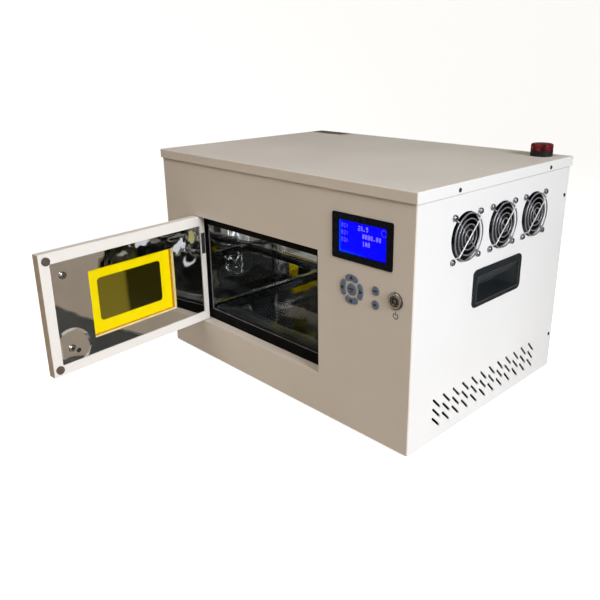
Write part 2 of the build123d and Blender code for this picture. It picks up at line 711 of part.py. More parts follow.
with BuildPart() as power_inlet:
    with BuildSketch(front(YB)):
        with Locations((INLET_X, INLET_Z)):
            RectangleRounded(50, 23, 3)
    extrude(amount=-3.0)
    fillet(power_inlet.faces().sort_by(Axis.Y)[-1].edges(), 0.8)
    with BuildSketch(front(YB)):
        with Locations((INLET_X, INLET_Z)):
            Rectangle(27.4, 20)
    extrude(amount=20)
    with BuildSketch(front(YB + 4)) as power_inlet_socket:
        with Locations((INLET_X, INLET_Z)):
            Rectangle(24, 16)
        chamfer(power_inlet_socket.vertices().group_by(Axis.Y)[-1], 4.2)
    extrude(amount=20, mode=Mode.SUBTRACT)
    with BuildSketch(front(YB + 4)):
        with Locations((INLET_X, INLET_Z)):
            with GridLocations(40.0, 1, 2, 1):
                Circle(1.7)
    extrude(amount=6, mode=Mode.SUBTRACT)
finish(power_inlet, "power_inlet")

with BuildPart() as inlet_pins:
    with BuildSketch(front(YB - 16)):
        with Locations((INLET_X - 7, INLET_Z - 2), (INLET_X + 7, INLET_Z - 2),
                       (INLET_X, INLET_Z + 2)):
            Rectangle(2, 4)
    extrude(amount=-15)
finish(inlet_pins, "inlet_pins")

with BuildPart() as power_switch_body:
    with BuildSketch(front(YB)):
        with Locations((ROCKER_X, ROCKER_Z)):
            RectangleRounded(15, 21, 1.5)
    extrude(amount=-2.0)
    with BuildSketch(front(YB)):
        with Locations((ROCKER_X, ROCKER_Z)):
            Rectangle(13, 19)
    extrude(amount=14)
    with BuildSketch(front(YB + 3)):
        with Locations((ROCKER_X, ROCKER_Z)):
            Rectangle(10.6, 16.6)
    extrude(amount=13, mode=Mode.SUBTRACT)
    # blind seats for the rocker's trunnions
    with BuildSketch(side(ROCKER_X - 6.1)):
        with Locations((YB - 1.0, ROCKER_Z)):
            Circle(1.05)
    extrude(amount=12.2, mode=Mode.SUBTRACT)
finish(power_switch_body, "power_switch_body")

# rocker: shallow V, tipped 10 degrees about its trunnions
TIP = radians(10)
rocker_plane = Plane(origin=(ROCKER_X - 5.0, YB - 1.0, ROCKER_Z),
                     x_dir=(0, cos(TIP), sin(TIP)), z_dir=(1, 0, 0))
with BuildPart() as power_rocker:
    with BuildSketch(rocker_plane):
        with BuildLine():
            Polyline((-6.0, -3.2), (2.6, -7.4), (4.6, -7.2), (3.2, 0), (4.6, 7.2),
                     (2.6, 7.4), (-6.0, 3.2), close=True)
        make_face()
    extrude(amount=10.0)
    with BuildSketch(side(ROCKER_X - 5.9)):
        with Locations((YB - 1.0, ROCKER_Z)):
            Circle(1.0)
    extrude(amount=11.8)
finish(power_rocker, "power_rocker")

with BuildPart() as power_supply:
    with BuildSketch(Plane.XY.offset(ZB + 1.5)):
        with Locations((155, 35)):
            Rectangle(97, 180)
    extrude(amount=40)
    chamfer(power_supply.faces().sort_by(Axis.Z)[-1].edges(), 1)
finish(power_supply, "power_supply")

with BuildPart() as lamp_driver:
    with BuildSketch(Plane.XY.offset(ZB + 1.5)):
        with Locations((-198, 20)):
            Rectangle(46, 150)
    extrude(amount=50)
    chamfer(lamp_driver.faces().sort_by(Axis.Z)[-1].edges(), 1)
finish(lamp_driver, "lamp_driver")

# ------------------------------------------------------------- door pivots

with BuildPart() as pivot_bushes:
    for z0, up in ((OPEN_T, 1), (OPEN_B, -1)):
        with BuildSketch(Plane.XY.offset(z0)):
            with Locations((PIVOT_X, PIVOT_Y)):
                Circle(3.2)
                Circle(BUSH_BORE_R, mode=Mode.SUBTRACT)
        extrude(amount=up * 6.0)
        with BuildSketch(Plane.XY.offset(z0 + up * SHEET)):
            with Locations((PIVOT_X, PIVOT_Y)):
                Circle(4.3)
                Circle(BUSH_BORE_R, mode=Mode.SUBTRACT)
        extrude(amount=up * 1.4)
finish(pivot_bushes, "pivot_bushes")

with BuildPart() as door_pivot_pins:
    with BuildSketch(door_level(DOOR_T - 10)):
        Circle(PIN_R)
    extrude(amount=10 + (OPEN_T - DOOR_T) + 5.6)
    with BuildSketch(door_level(DOOR_B + 10)):
        Circle(PIN_R)
    extrude(amount=-(10 + (DOOR_B - OPEN_B) + 5.6))
    with BuildSketch(door_level(DOOR_B)):
        Circle(3.0)
    extrude(amount=-(DOOR_B - OPEN_B - 0.3))
finish(door_pivot_pins, "door_pivot_pins")

# ----------------------------------------------------------------- the door

DOOR_W = DOOR_S1 - DOOR_S0
DOOR_HGT = DOOR_T - DOOR_B
DOOR_CS, DOOR_CZ = span(DOOR_S0, DOOR_S1), span(DOOR_B, DOOR_T)
MIR_S0, MIR_S1 = DOOR_S0 + BORDER_HINGE, DOOR_S1 - BORDER_FREE
MIR_Z0, MIR_Z1 = DOOR_B + BORDER_BOTTOM, DOOR_T - BORDER_TOP

# folded pan: outer skin, four edges and the return borders on the inside
with BuildPart() as door_shell:
    with BuildSketch(door_face(DOOR_T0)):
        with Locations((DOOR_CS, DOOR_CZ)):
            Rectangle(DOOR_W, DOOR_HGT)
    extrude(amount=-(DOOR_T1 - DOOR_T0))
    fillet(door_shell.edges(), 0.7)
    with BuildSketch(door_face(DOOR_T0 + DOOR_SHEET)):
        with Locations((DOOR_CS, DOOR_CZ)):
            Rectangle(DOOR_W - 2 * DOOR_SHEET, DOOR_HGT - 2 * DOOR_SHEET)
    extrude(amount=-(DOOR_T1 - DOOR_T0 - 2 * DOOR_SHEET), mode=Mode.SUBTRACT)
    with BuildSketch(door_face(DOOR_T1 - DOOR_SHEET - 0.5)):
        with Locations((span(MIR_S0, MIR_S1), span(MIR_Z0, MIR_Z1))):
            Rectangle(MIR_S1 - MIR_S0, MIR_Z1 - MIR_Z0)
    extrude(amount=-4, mode=Mode.SUBTRACT)
    with BuildSketch(door_face(DOOR_T0 - 1)):
        with Locations((WIN_S, WIN_Z)):
            RectangleRounded(WIN_W, WIN_H, WIN_R)
        with Locations((HANDLE_S, HANDLE_Z)):
            with GridLocations(1, HANDLE_PITCH, 1, 2):
                Circle(2.3)
    extrude(amount=-4, mode=Mode.SUBTRACT)
    with BuildSketch(door_level(DOOR_B - 1)):
        Circle(PIN_R + 0.05)
    extrude(amount=DOOR_HGT + 2, mode=Mode.SUBTRACT)
finish(door_shell, "door_shell")

CORE_T0, CORE_T1 = DOOR_T0 + DOOR_SHEET, DOOR_T1 - DOOR_SHEET - MIRROR_T
with BuildPart() as door_core:
    with BuildSketch(door_face(CORE_T0)):
        with Locations((DOOR_CS, DOOR_CZ)):
            Rectangle(DOOR_W - 2 * DOOR_SHEET - 0.2, DOOR_HGT - 2 * DOOR_SHEET - 0.2)
        with Locations((WIN_S, WIN_Z)):
            Rectangle(POCKET_W, POCKET_H, mode=Mode.SUBTRACT)
        with Locations((HANDLE_S, HANDLE_Z)):
            with GridLocations(1, HANDLE_PITCH, 1, 2):
                Circle(2.3, mode=Mode.SUBTRACT)
    extrude(amount=-(CORE_T1 - CORE_T0))
    with BuildSketch(door_level(DOOR_B - 1)):
        Circle(PIN_R + 0.1)
    extrude(amount=DOOR_HGT + 2, mode=Mode.SUBTRACT)
finish(door_core, "door_core")

with BuildPart() as door_mirror_panel:
    with BuildSketch(door_face(CORE_T1)):
        with Locations((span(MIR_S0, MIR_S1), span(MIR_Z0, MIR_Z1))):
            Rectangle(MIR_S1 - MIR_S0 + 8, MIR_Z1 - MIR_Z0 + 8)
        with Locations((WIN_S, WIN_Z)):
            Rectangle(POCKET_W, POCKET_H, mode=Mode.SUBTRACT)
        with Locations((HANDLE_S, HANDLE_Z)):
            with GridLocations(1, HANDLE_PITCH, 1, 2):
                Circle(2.3, mode=Mode.SUBTRACT)
        with Locations((DOOR_S0 + 217.2, ZB + 80.9)):
            Circle(1.3, mode=Mode.SUBTRACT)
    extrude(amount=-MIRROR_T)
finish(door_mirror_panel, "door_mirror_panel")

with BuildPart() as door_window:
    with BuildSketch(door_face(CORE_T0)):
        with Locations((WIN_S, WIN_Z)):
            Rectangle(POCKET_W - 0.2, POCKET_H - 0.2)
    extrude(amount=-ACRYLIC_T)
finish(door_window, "door_window")

# bow handle on the outer face, screwed from inside
with BuildPart() as door_handle:
    handle_plane = Plane(origin=door_face(DOOR_T0).from_local_coords((HANDLE_S, 0, 0)),
                         x_dir=(0, 0, 1), z_dir=DOOR_DIR)
    lo, hi = HANDLE_Z - HANDLE_PITCH / 2, HANDLE_Z + HANDLE_PITCH / 2
    out = 27.0
    o = handle_plane.origin
    z_up, away = Vector(0, 0, 1), -DOOR_IN
    with BuildLine():
        bow = FilletPolyline(o + z_up * lo, o + z_up * lo + away * out,
                             o + z_up * hi + away * out, o + z_up * hi, radius=13)
    with BuildSketch(Plane(origin=bow @ 0, x_dir=DOOR_DIR, z_dir=away)):
        RectangleRounded(12.0, 9.0, 3.6)
    sweep(path=bow)
    with BuildSketch(door_face(DOOR_T0)):
        with Locations((HANDLE_S, HANDLE_Z)):
            with GridLocations(1, HANDLE_PITCH, 1, 2):
                Circle(2.05)
    extrude(amount=11, mode=Mode.SUBTRACT)
finish(door_handle, "door_handle")

with BuildPart() as door_handle_screws:
    with BuildSketch(door_face(DOOR_T1 - DOOR_SHEET)):
        with Locations((HANDLE_S, HANDLE_Z)):
            with GridLocations(1, HANDLE_PITCH, 1, 2):
                Circle(4.6)
    extrude(amount=-2.3, taper=20)
    with BuildSketch(door_face(DOOR_T1 - DOOR_SHEET)):
        with Locations((HANDLE_S, HANDLE_Z)):
            with GridLocations(1, HANDLE_PITCH, 1, 2):
                Circle(2.0)
    extrude(amount=DOOR_T1 - DOOR_SHEET - DOOR_T0 + 9.5)
finish(door_handle_screws, "door_handle_screws")

with BuildPart() as door_magnets:
    with BuildSketch(door_face(DOOR_T1)):
        with Locations((DOOR_S0 + 245.4, ZB + 204.7), (DOOR_S0 + 246.0, ZB + 64.5)):
            Circle(5.2)
    extrude(amount=-2.3)
    fillet(door_magnets.edges().filter_by(GeomType.CIRCLE).group_by(
        SortBy.DISTANCE)[-1], 0.3)
finish(door_magnets, "door_magnets")

with BuildPart() as door_edge_plate:
    with BuildSketch(door_face(DOOR_T1)):
        with Locations((DOOR_S0 + 4.6, ZB + 173.6)):
            Rectangle(6.4, 31)
    extrude(amount=-0.6)
finish(door_edge_plate, "door_edge_plate")
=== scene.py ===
import bpy, bmesh, math, random
from mathutils import Matrix, Vector


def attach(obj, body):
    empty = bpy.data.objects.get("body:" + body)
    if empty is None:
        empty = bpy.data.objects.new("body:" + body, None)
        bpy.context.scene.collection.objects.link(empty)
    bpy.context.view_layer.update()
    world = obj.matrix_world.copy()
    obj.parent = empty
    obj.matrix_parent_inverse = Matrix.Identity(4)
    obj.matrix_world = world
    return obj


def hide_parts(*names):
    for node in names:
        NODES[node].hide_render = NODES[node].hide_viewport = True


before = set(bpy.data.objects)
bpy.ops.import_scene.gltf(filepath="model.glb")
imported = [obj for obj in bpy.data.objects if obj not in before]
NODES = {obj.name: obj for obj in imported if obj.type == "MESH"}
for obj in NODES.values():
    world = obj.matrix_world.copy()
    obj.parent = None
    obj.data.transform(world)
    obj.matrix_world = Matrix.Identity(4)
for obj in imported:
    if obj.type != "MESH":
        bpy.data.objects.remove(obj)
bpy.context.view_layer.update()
rng = random.Random(7)
MM = 0.001

# ---------------------------------------------------------------- geometry facts, mm
CAB_W, CAB_D, CAB_H, FOOT = 466.0, 331.0, 303.0, 3.0
XL, XR, YF, YB, ZB = -233.0, 233.0, -165.5, 165.5, 3.0
ZT = ZB + CAB_H
DOOR_OPEN = math.radians(83.7)
PIVOT = Vector((XL + 74.2, YF + 6.0, 0))
D_S = Vector((math.cos(DOOR_OPEN), -math.sin(DOOR_OPEN), 0))
D_T = Vector((math.sin(DOOR_OPEN), math.cos(DOOR_OPEN), 0))
WIN_S, WIN_Z, WIN_W, WIN_H, WIN_R = 121.3, ZB + 133.8, 99.5, 58.4, 5.0
POCKET_W, POCKET_H = 132.7, 90.0
FAN_Y = [YF + 91.8, YF + 167.2, YF + 242.6]
FAN_Z = ZB + 240.0
KEY_X, KEY_Z, KEY_PITCH = XL + 379.4, ZB + 179.3, 13.8
AUX_X, AUX_Z1, AUX_Z2 = XL + 414.8, ZB + 186.3, ZB + 170.0
START_X, START_Z = XL + 443.0, ZB + 182.1
DISP_X, DISP_Z = XL + 393.4, ZB + 239.5
VIEW_W, VIEW_H = 70.9, 38.0


def door(s, t, z):
    """A point of the door, from its place along, through and up the leaf."""
    return PIVOT + D_S * s + D_T * t + Vector((0, 0, z))


# ---------------------------------------------------------------- camera
def make_camera():
    a, e, roll = math.radians(45.83), math.radians(18.38), math.radians(-0.46)
    back = Vector((math.sin(a) * math.cos(e), -math.cos(a) * math.cos(e), math.sin(e)))
    x = Vector((0, 0, 1)).cross(back).normalized()
    y = back.cross(x)
    xr = x * math.cos(roll) + y * math.sin(roll)
    yr = -x * math.sin(roll) + y * math.cos(roll)
    cam = bpy.data.cameras.new("camera")
    cam.sensor_fit = "HORIZONTAL"
    cam.sensor_width = 36.0
    cam.lens = 652.2 / 600 * 36
    cam.shift_x, cam.shift_y = -0.0242, -0.0457
    cam.clip_start, cam.clip_end = 0.01, 60
    obj = bpy.data.objects.new("camera", cam)
    m = Matrix((xr, yr, back)).transposed().to_4x4()
    m.translation = Vector((0.6160, -0.6802, 0.4338))
    obj.matrix_world = m
    bpy.context.scene.collection.objects.link(obj)
    bpy.context.scene.camera = obj


make_camera()


# ---------------------------------------------------------------- materials
def lin(r, g, b):
    def f(v):
        v /= 255
        return v / 12.92 if v <= 0.04045 else ((v + 0.055) / 1.055) ** 2.4
    return (f(r), f(g), f(b), 1.0)


def tone(c, k):
    return (min(c[0] * k, 1), min(c[1] * k, 1), min(c[2] * k, 1), 1.0)


class Mat:
    """A small builder for one procedural surface."""

    def __init__(self, name, base, rough=0.5, metal=0.0):
        self.m = bpy.data.materials.new(name)
        self.m.use_nodes = True
        self.nt = self.m.node_tree
        self.p = self.nt.nodes["Principled BSDF"]
        self.p.inputs["Base Color"].default_value = base
        self.p.inputs["Roughness"].default_value = rough
        self.p.inputs["Metallic"].default_value = metal
        self.m.diffuse_color = base
        self.base = base
        self.co = None
        self.last = None

    def node(self, kind, **kw):
        n = self.nt.nodes.new(kind)
        for k, v in kw.items():
            setattr(n, k, v)
        return n

    def link(self, a, b):
        self.nt.links.new(a, b)

    def coord(self, scale=(1, 1, 1), rot=(0, 0, 0)):
        if self.co is None:
            self.co = self.node("ShaderNodeTexCoord").outputs["Object"]
        mp = self.node("ShaderNodeMapping")
        mp.inputs["Scale"].default_value = scale
        mp.inputs["Rotation"].default_value = rot
        self.link(self.co, mp.inputs["Vector"])
        return mp.outputs["Vector"]

    def noise(self, scale, detail=3.0, rough=0.5, stretch=(1, 1, 1), dist=0.0, rot=(0, 0, 0)):
        n = self.node("ShaderNodeTexNoise")
        n.inputs["Scale"].default_value = scale
        n.inputs["Detail"].default_value = detail
        n.inputs["Roughness"].default_value = rough
        n.inputs["Distortion"].default_value = dist
        self.link(self.coord(stretch, rot), n.inputs["Vector"])
        return n.outputs["Fac"]

    def remap(self, src, lo, hi, a, b):
        n = self.node("ShaderNodeMapRange")
        for k, v in (("From Min", lo), ("From Max", hi), ("To Min", a), ("To Max", b)):
            n.inputs[k].default_value = v
        self.link(src, n.inputs["Value"])
        return n.outputs["Result"]

    def math(self, op, a, b=None, c=None):
        n = self.node("ShaderNodeMath", operation=op)
        for i, v in enumerate((a, b, c)):
            if v is None:
                continue
            if isinstance(v, (int, float)):
                n.inputs[i].default_value = v
            else:
                self.link(v, n.inputs[i])
        return n.outputs[0]

    def mix(self, fac, a, b):
        n = self.node("ShaderNodeMix", data_type="RGBA")
        self.link(fac, n.inputs[0])
        for sock, v in ((n.inputs[6], a), (n.inputs[7], b)):
            if isinstance(v, tuple):
                sock.default_value = v
            else:
                self.link(v, sock)
        return n.outputs[2]

    def colour(self, src):
        self.link(src, self.p.inputs["Base Color"])
        self.last = src
        return self

    def vary(self, scale=9.0, amount=0.05, detail=4.0, stretch=(1, 1, 1)):
        f = self.remap(self.noise(scale, detail, 0.6, stretch), 0.3, 0.7, 0, 1)
        here = self.last if self.last is not None else self.base
        if isinstance(here, tuple):
            out = self.mix(f, tone(here, 1 - amount), tone(here, 1 + amount))
        else:
            out = self.mix(f, here, here)
        return self.colour(out)

    def stain(self, colour, scale=5.0, lo=0.55, hi=0.8, amount=0.3, detail=6.0, stretch=(1, 1, 1)):
        f = self.remap(self.noise(scale, detail, 0.65, stretch, 0.4), lo, hi, 0, amount)
        here = self.last if self.last is not None else self.base
        return self.colour(self.mix(f, here, colour))

    def roughen(self, a, b, scale=12.0, detail=5.0, stretch=(1, 1, 1), lo=0.35, hi=0.65):
        self.link(self.remap(self.noise(scale, detail, 0.6, stretch), lo, hi, a, b),
                  self.p.inputs["Roughness"])
        return self

    def bump(self, *layers):
        """layers: (scale, distance in metres, strength, detail, stretch)"""
        prev = None
        for scale, dist, strength, detail, stretch in layers:
            b = self.node("ShaderNodeBump")
            b.inputs["Strength"].default_value = strength
            b.inputs["Distance"].default_value = dist
            self.link(self.noise(scale, detail, 0.5, stretch), b.inputs["Height"])
            if prev is not None:
                self.link(prev, b.inputs["Normal"])
            prev = b.outputs["Normal"]
        self.normal = prev
        self.link(prev, self.p.inputs["Normal"])
        return self

    def set(self, **kw):
        names = {"coat": "Coat Weight", "coat_rough": "Coat Roughness", "spec": "Specular IOR Level",
                 "ior": "IOR", "alpha": "Alpha", "emit": "Emission Strength", "emit_colour": "Emission Color",
                 "sub": "Subsurface Weight", "trans": "Transmission Weight", "aniso": "Anisotropic"}
        for k, v in kw.items():
            self.p.inputs[names[k]].default_value = v
        return self


ONE = (1, 1, 1)

WHITE = (0.728, 0.742, 0.750, 1)
# the cream below is the off-white paint darkened and warmed: painted shade for faces that look to the front
FRONT_SHADE_PAINT = (0.675, 0.618, 0.555, 1)


def paint(name, base, grain=1.0):
    m = Mat(name, base, 0.42)
    m.vary(7.0, 0.022, 5.0)
    m.stain(tone(base, 0.86), 3.0, 0.58, 0.85, 0.20)
    m.roughen(0.36, 0.52, 9.0)
    m.bump((1100, 0.00006 * grain, 0.35, 2.0, ONE), (320, 0.00010 * grain, 0.22, 2.0, ONE),
           (6, 0.0012, 0.12, 2.0, ONE))
    return m.set(spec=0.42).m


M = {}
# the front panel gets the shaded copy of the paint: painted shade
M["front"] = paint("front_paint_shaded", FRONT_SHADE_PAINT)
M["cabinet"] = paint("cabinet_paint", WHITE)
def cover_with_painted_shade(name, base):
    """Cover paint with painted shade: a dark patch across the rear left corner of its top."""
    paint(name, base)
    m = Mat(name + "_top", base, 0.42)
    m.vary(7.0, 0.022, 5.0)
    m.stain(tone(base, 0.86), 3.0, 0.58, 0.85, 0.20)
    sep = m.node("ShaderNodeSeparateXYZ")
    m.link(m.coord(), sep.inputs["Vector"])
    edge = m.remap(m.noise(60, 3.0), 0.3, 0.7, -0.003, 0.003)
    y = m.math("ADD", sep.outputs["Y"], edge)
    near = m.remap(y, 0.134, 0.142, 0, 1)
    right = m.remap(m.math("ADD", sep.outputs["X"], edge), -0.168, -0.148, 1, 0)
    left = m.remap(sep.outputs["X"], -0.236, -0.226, 0.35, 1)
    high = m.remap(sep.outputs["Z"], ZT * MM - 0.003, ZT * MM - 0.001, 0, 1)
    # painted shade: a soft dark patch laid over the rear left corner of the top
    mark = m.math("MULTIPLY", m.math("MULTIPLY", near, right), m.math("MULTIPLY", left, high))
    m.colour(m.mix(m.math("MULTIPLY", mark, 0.88), m.last, (0.045, 0.040, 0.036, 1)))
    m.roughen(0.36, 0.52, 9.0)
    m.bump((1100, 0.00006, 0.35, 2.0, ONE), (320, 0.00010, 0.22, 2.0, ONE), (6, 0.0012, 0.12, 2.0, ONE))
    return m.set(spec=0.42).m


M["cover"] = cover_with_painted_shade("cover_paint", (0.775, 0.748, 0.705, 1))
M["door"] = paint("door_paint", (0.755, 0.735, 0.705, 1), 0.8)
# a darker brown copy of the door paint: painted shade for the leaf's free edge
M["door_edge_shade"] = paint("door_edge_shade_paint", (0.430, 0.350, 0.262, 1), 0.8)

m = Mat("mirror_liner", (0.80, 0.81, 0.81, 1), 0.015, 1.0)
m.vary(16, 0.06, 5.0)
m.roughen(0.004, 0.018, 22, 4.0, ONE)
m.bump((7, 0.0030, 0.12, 0.0, ONE), (40, 0.0010, 0.15, 0.0, (1, 1, 0.30)))
M["liner"] = m.m

m = Mat("mirror_door", (0.66, 0.655, 0.64, 1), 0.03, 1.0)
m.vary(16, 0.05, 5.0)
m.roughen(0.010, 0.035, 30, 6.0)
m.bump((7, 0.0040, 0.40, 1.0, ONE), (24, 0.0007, 0.4, 1.5, ONE))
# the sheet is drawn in a little round the lower handle screw
d = m.node("ShaderNodeVectorMath", operation="DISTANCE")
m.link(m.co, d.inputs[0])
d.inputs[1].default_value = door(221.3, 5.0, ZB + 86.4) * MM
sep = m.node("ShaderNodeSeparateXYZ")
m.link(m.co, sep.inputs["Vector"])
lean = m.remap(sep.outputs["Z"], (ZB + 86.4 - 26.5) * MM, (ZB + 86.4 + 26.5) * MM, 1.0, -1.0)
swell = m.math("MULTIPLY", lean, m.remap(d.outputs["Value"], 0.0225, 0.0265, 1.0, 0.0))
b = m.node("ShaderNodeBump")
b.inputs["Strength"].default_value = 1.0
b.inputs["Distance"].default_value = 0.0036
m.link(swell, b.inputs["Height"])
m.link(m.normal, b.inputs["Normal"])
# and it is creased along its top edge, most of all near the hinge
high = m.remap(sep.outputs["Z"], (ZB + 172) * MM, (ZB + 192) * MM, 0.0, 1.0)
hinge = m.remap(sep.outputs["Y"], door(75, 0, 0).y * MM, door(30, 0, 0).y * MM, 0.0, 1.0)
upper = m.remap(sep.outputs["Z"], (ZB + 120) * MM, (ZB + 165) * MM, 0.0, 1.0)
where = m.math("MAXIMUM", high, m.math("MULTIPLY", hinge, upper))
free = m.remap(sep.outputs["Y"], door(190, 0, 0).y * MM, door(150, 0, 0).y * MM, 0.0, 1.0)
crease = m.math("MULTIPLY", m.math("MULTIPLY", where, free), m.noise(34, 1.0, 0.5, (1, 1, 0.8)))
c = m.node("ShaderNodeBump")
c.inputs["Strength"].default_value = 1.0
c.inputs["Distance"].default_value = 0.0024
m.link(crease, c.inputs["Height"])
m.link(b.outputs["Normal"], c.inputs["Normal"])
m.link(c.outputs["Normal"], m.p.inputs["Normal"])


def spot(y, z, ry, rz, ragged=0.5, scale=120):
    """1 inside a ragged oval on the door's mirror, 0 outside; its place and half sizes in mm."""
    v = m.node("ShaderNodeVectorMath", operation="SUBTRACT")
    m.link(m.co, v.inputs[0])
    v.inputs[1].default_value = (0, y * MM, z * MM)
    w = m.node("ShaderNodeVectorMath", operation="MULTIPLY")
    m.link(v.outputs["Vector"], w.inputs[0])
    w.inputs[1].default_value = (0, 1000 / ry, 1000 / rz)
    d = m.node("ShaderNodeVectorMath", operation="LENGTH")
    m.link(w.outputs["Vector"], d.inputs[0])
    rag = m.remap(m.noise(scale, 2.0), 0.3, 0.7, -ragged, ragged)
    return m.remap(m.math("ADD", d.outputs["Value"], rag), 0.75, 1.1, 1, 0)


# painted highlights and reflections on the mirror: blue-white patches, a white crescent and gold patches, with the
# metal turned down under them
mirror_painted_highlight = m.math("MULTIPLY", spot(-263, 201, 15, 4.5, 0.5, 150), 0.8)
mirror_painted_highlight = m.math("MAXIMUM", mirror_painted_highlight, m.math("MULTIPLY", spot(-208, 181, 11, 9, 0.8, 110), 0.85))
painted_crescent = m.math("MULTIPLY", spot(-186, 157, 12, 8.5, 0.2, 90), m.math("SUBTRACT", 1.0, spot(-183, 161.5, 10.5, 7.5, 0.2, 90)))
mirror_painted_highlight = m.math("MAXIMUM", mirror_painted_highlight, m.math("MULTIPLY", painted_crescent, 0.85))
painted_gold_reflection = m.math("MAXIMUM", m.math("MULTIPLY", spot(-179, 188, 5.5, 10, 0.4, 130), 0.9),
              m.math("MULTIPLY", spot(-295, 192, 6, 4, 0.5, 150), 0.5))
m.colour(m.mix(painted_gold_reflection, m.mix(mirror_painted_highlight, m.last, (0.70, 0.74, 0.80, 1)), (0.42, 0.40, 0.10, 1)))
m.link(m.math("SUBTRACT", 1.0, m.math("MULTIPLY", m.math("MAXIMUM", mirror_painted_highlight, painted_gold_reflection), 0.85)), m.p.inputs["Metallic"])
M["mirror"] = m.m

m = Mat("satin_edge", (0.40, 0.405, 0.41, 1), 0.34, 0.8)
m.vary(40, 0.08, 4.0)
m.roughen(0.30, 0.48, 60, 4.0)
m.bump((900, 0.00002, 0.3, 2.0, (1, 0.1, 1)))
M["edge_steel"] = m.m

m = Mat("tray_steel", (0.33, 0.335, 0.34, 1), 0.05, 1.0)
m.vary(14, 0.10, 5.0)
# painted dark reflection: the steel is darkened along its left side and a little towards the right
sep = m.node("ShaderNodeSeparateXYZ")
m.link(m.coord(), sep.inputs["Vector"])
x = m.math("ADD", sep.outputs["X"], m.remap(m.noise(30, 3.0), 0.3, 0.7, -0.004, 0.004))
tray_shade_mask = m.math("MAXIMUM", m.remap(x, -0.055, 0.015, 0, 0.45), m.remap(x, -0.107, -0.098, 0.88, 0))
m.colour(m.mix(tray_shade_mask, m.last, (0.060, 0.063, 0.070, 1)))
m.roughen(0.02, 0.07, 18, 6.0)
m.bump((8, 0.0035, 0.22, 0.0, ONE), (30, 0.0012, 0.16, 0.0, ONE), (95, 0.0003, 0.05, 0.0, ONE))
M["tray"] = m.m

# a darker bluish copy of the tray steel: painted dark reflection for the slopes round its middle
m = Mat("tray_slope_painted_shade", (0.19, 0.215, 0.25, 1), 0.14, 1.0)
m.vary(60, 0.30, 4.0, (0.12, 1, 1))
m.roughen(0.10, 0.24, 90, 4.0, (0.12, 1, 1))
m.bump((9, 0.0020, 0.4, 1.0, ONE), (70, 0.0004, 0.5, 2.0, (0.15, 1, 1)))
M["tray_slope_painted_shade"] = m.m

# a near-black copy of the tray steel: painted shade for its outer front wall
m = Mat("tray_front_painted_shade", (0.020, 0.021, 0.024, 1), 0.34, 0.6)
m.vary(160, 0.35, 4.0, (0.15, 1, 1))
m.roughen(0.26, 0.48, 200, 4.0, (0.1, 1, 1))
m.bump((500, 0.0002, 0.6, 3.0, (0.12, 1, 1)))
M["tray_front_painted_shade"] = m.m

m = Mat("bright_wire", (0.74, 0.74, 0.76, 1), 0.14, 1.0)
m.vary(120, 0.10, 3.0)
m.roughen(0.09, 0.26, 150, 4.0)
m.bump((1500, 0.00003, 0.25, 2.0, ONE))
M["chrome"] = m.m

m = Mat("guard_wire", (0.27, 0.28, 0.305, 1), 0.30, 0.6)
m.vary(120, 0.10, 3.0)
m.roughen(0.32, 0.42, 150, 4.0)
m.bump((1500, 0.00003, 0.25, 2.0, ONE))
M["guard"] = m.m

m = Mat("guard_leg", (0.66, 0.66, 0.68, 1), 0.34, 0.4)
m.vary(120, 0.08, 3.0)
m.roughen(0.28, 0.40, 150, 4.0)
m.bump((1500, 0.00003, 0.25, 2.0, ONE))
M["guard_leg"] = m.m

m = Mat("fan_screw_steel", (0.27, 0.265, 0.295, 1), 0.26, 1.0)
m.vary(260, 0.35, 4.0)
m.roughen(0.18, 0.40, 260)
m.bump((900, 0.00005, 0.4, 3.0, ONE))
M["fan_screw"] = m.m

m = Mat("plain_steel", (0.42, 0.42, 0.43, 1), 0.35, 1.0)
m.vary(30, 0.12, 5.0)
m.roughen(0.25, 0.48, 40)
m.bump((600, 0.00004, 0.35, 3.0, (1, 0.08, 1)))
M["steel"] = m.m

m = Mat("plate_dark", (0.085, 0.083, 0.080, 1), 0.35, 0.7)
m.vary(120, 0.2, 4.0)
m.roughen(0.28, 0.5, 120)
m.bump((700, 0.00004, 0.4, 3.0, (1, 1, 0.1)))
M["plate_dark"] = m.m

m = Mat("screw_steel", (0.36, 0.35, 0.33, 1), 0.20, 1.0)
m.vary(220, 0.25, 4.0)
m.roughen(0.14, 0.34, 260)
m.bump((900, 0.00005, 0.4, 3.0, ONE))
M["screw_steel"] = m.m

m = Mat("black_screw", (0.022, 0.020, 0.020, 1), 0.35, 0.3)
m.vary(200, 0.3, 3.0)
m.roughen(0.28, 0.5, 300)
m.bump((1200, 0.00004, 0.3, 2.0, ONE))
M["screw"] = m.m

m = Mat("gasket_rubber", (0.0026, 0.0028, 0.0032, 1), 0.70)
m.vary(60, 0.35, 4.0)
m.roughen(0.5, 0.75, 50)
m.bump((900, 0.00008, 0.5, 3.0, ONE), (30, 0.0006, 0.2, 2.0, ONE))
M["gasket"] = m.set(spec=0.05).m

m = Mat("foot_rubber", (0.012, 0.012, 0.013, 1), 0.7)
m.vary(80, 0.3, 4.0)
m.bump((700, 0.0001, 0.5, 3.0, ONE))
M["foot"] = m.m

m = Mat("grip_plastic", (0.0420, 0.0510, 0.0560, 1), 0.46)
m.vary(25, 0.14, 4.0)
m.roughen(0.36, 0.56, 60)
m.bump((1400, 0.00007, 0.55, 3.0, ONE), (12, 0.0008, 0.2, 2.0, ONE))
M["grip"] = m.set(spec=0.25).m

# darker and lighter copies of the grip plastic follow: painted light and shade for its rim, the pocket's end walls and
# its floor
m = Mat("grip_rim_painted_shade", (0.0105, 0.0140, 0.0175, 1), 0.46)
m.vary(25, 0.14, 4.0)
m.roughen(0.36, 0.56, 60)
m.bump((1400, 0.00007, 0.55, 3.0, ONE))
M["grip_rim_painted_shade"] = m.set(spec=0.14).m

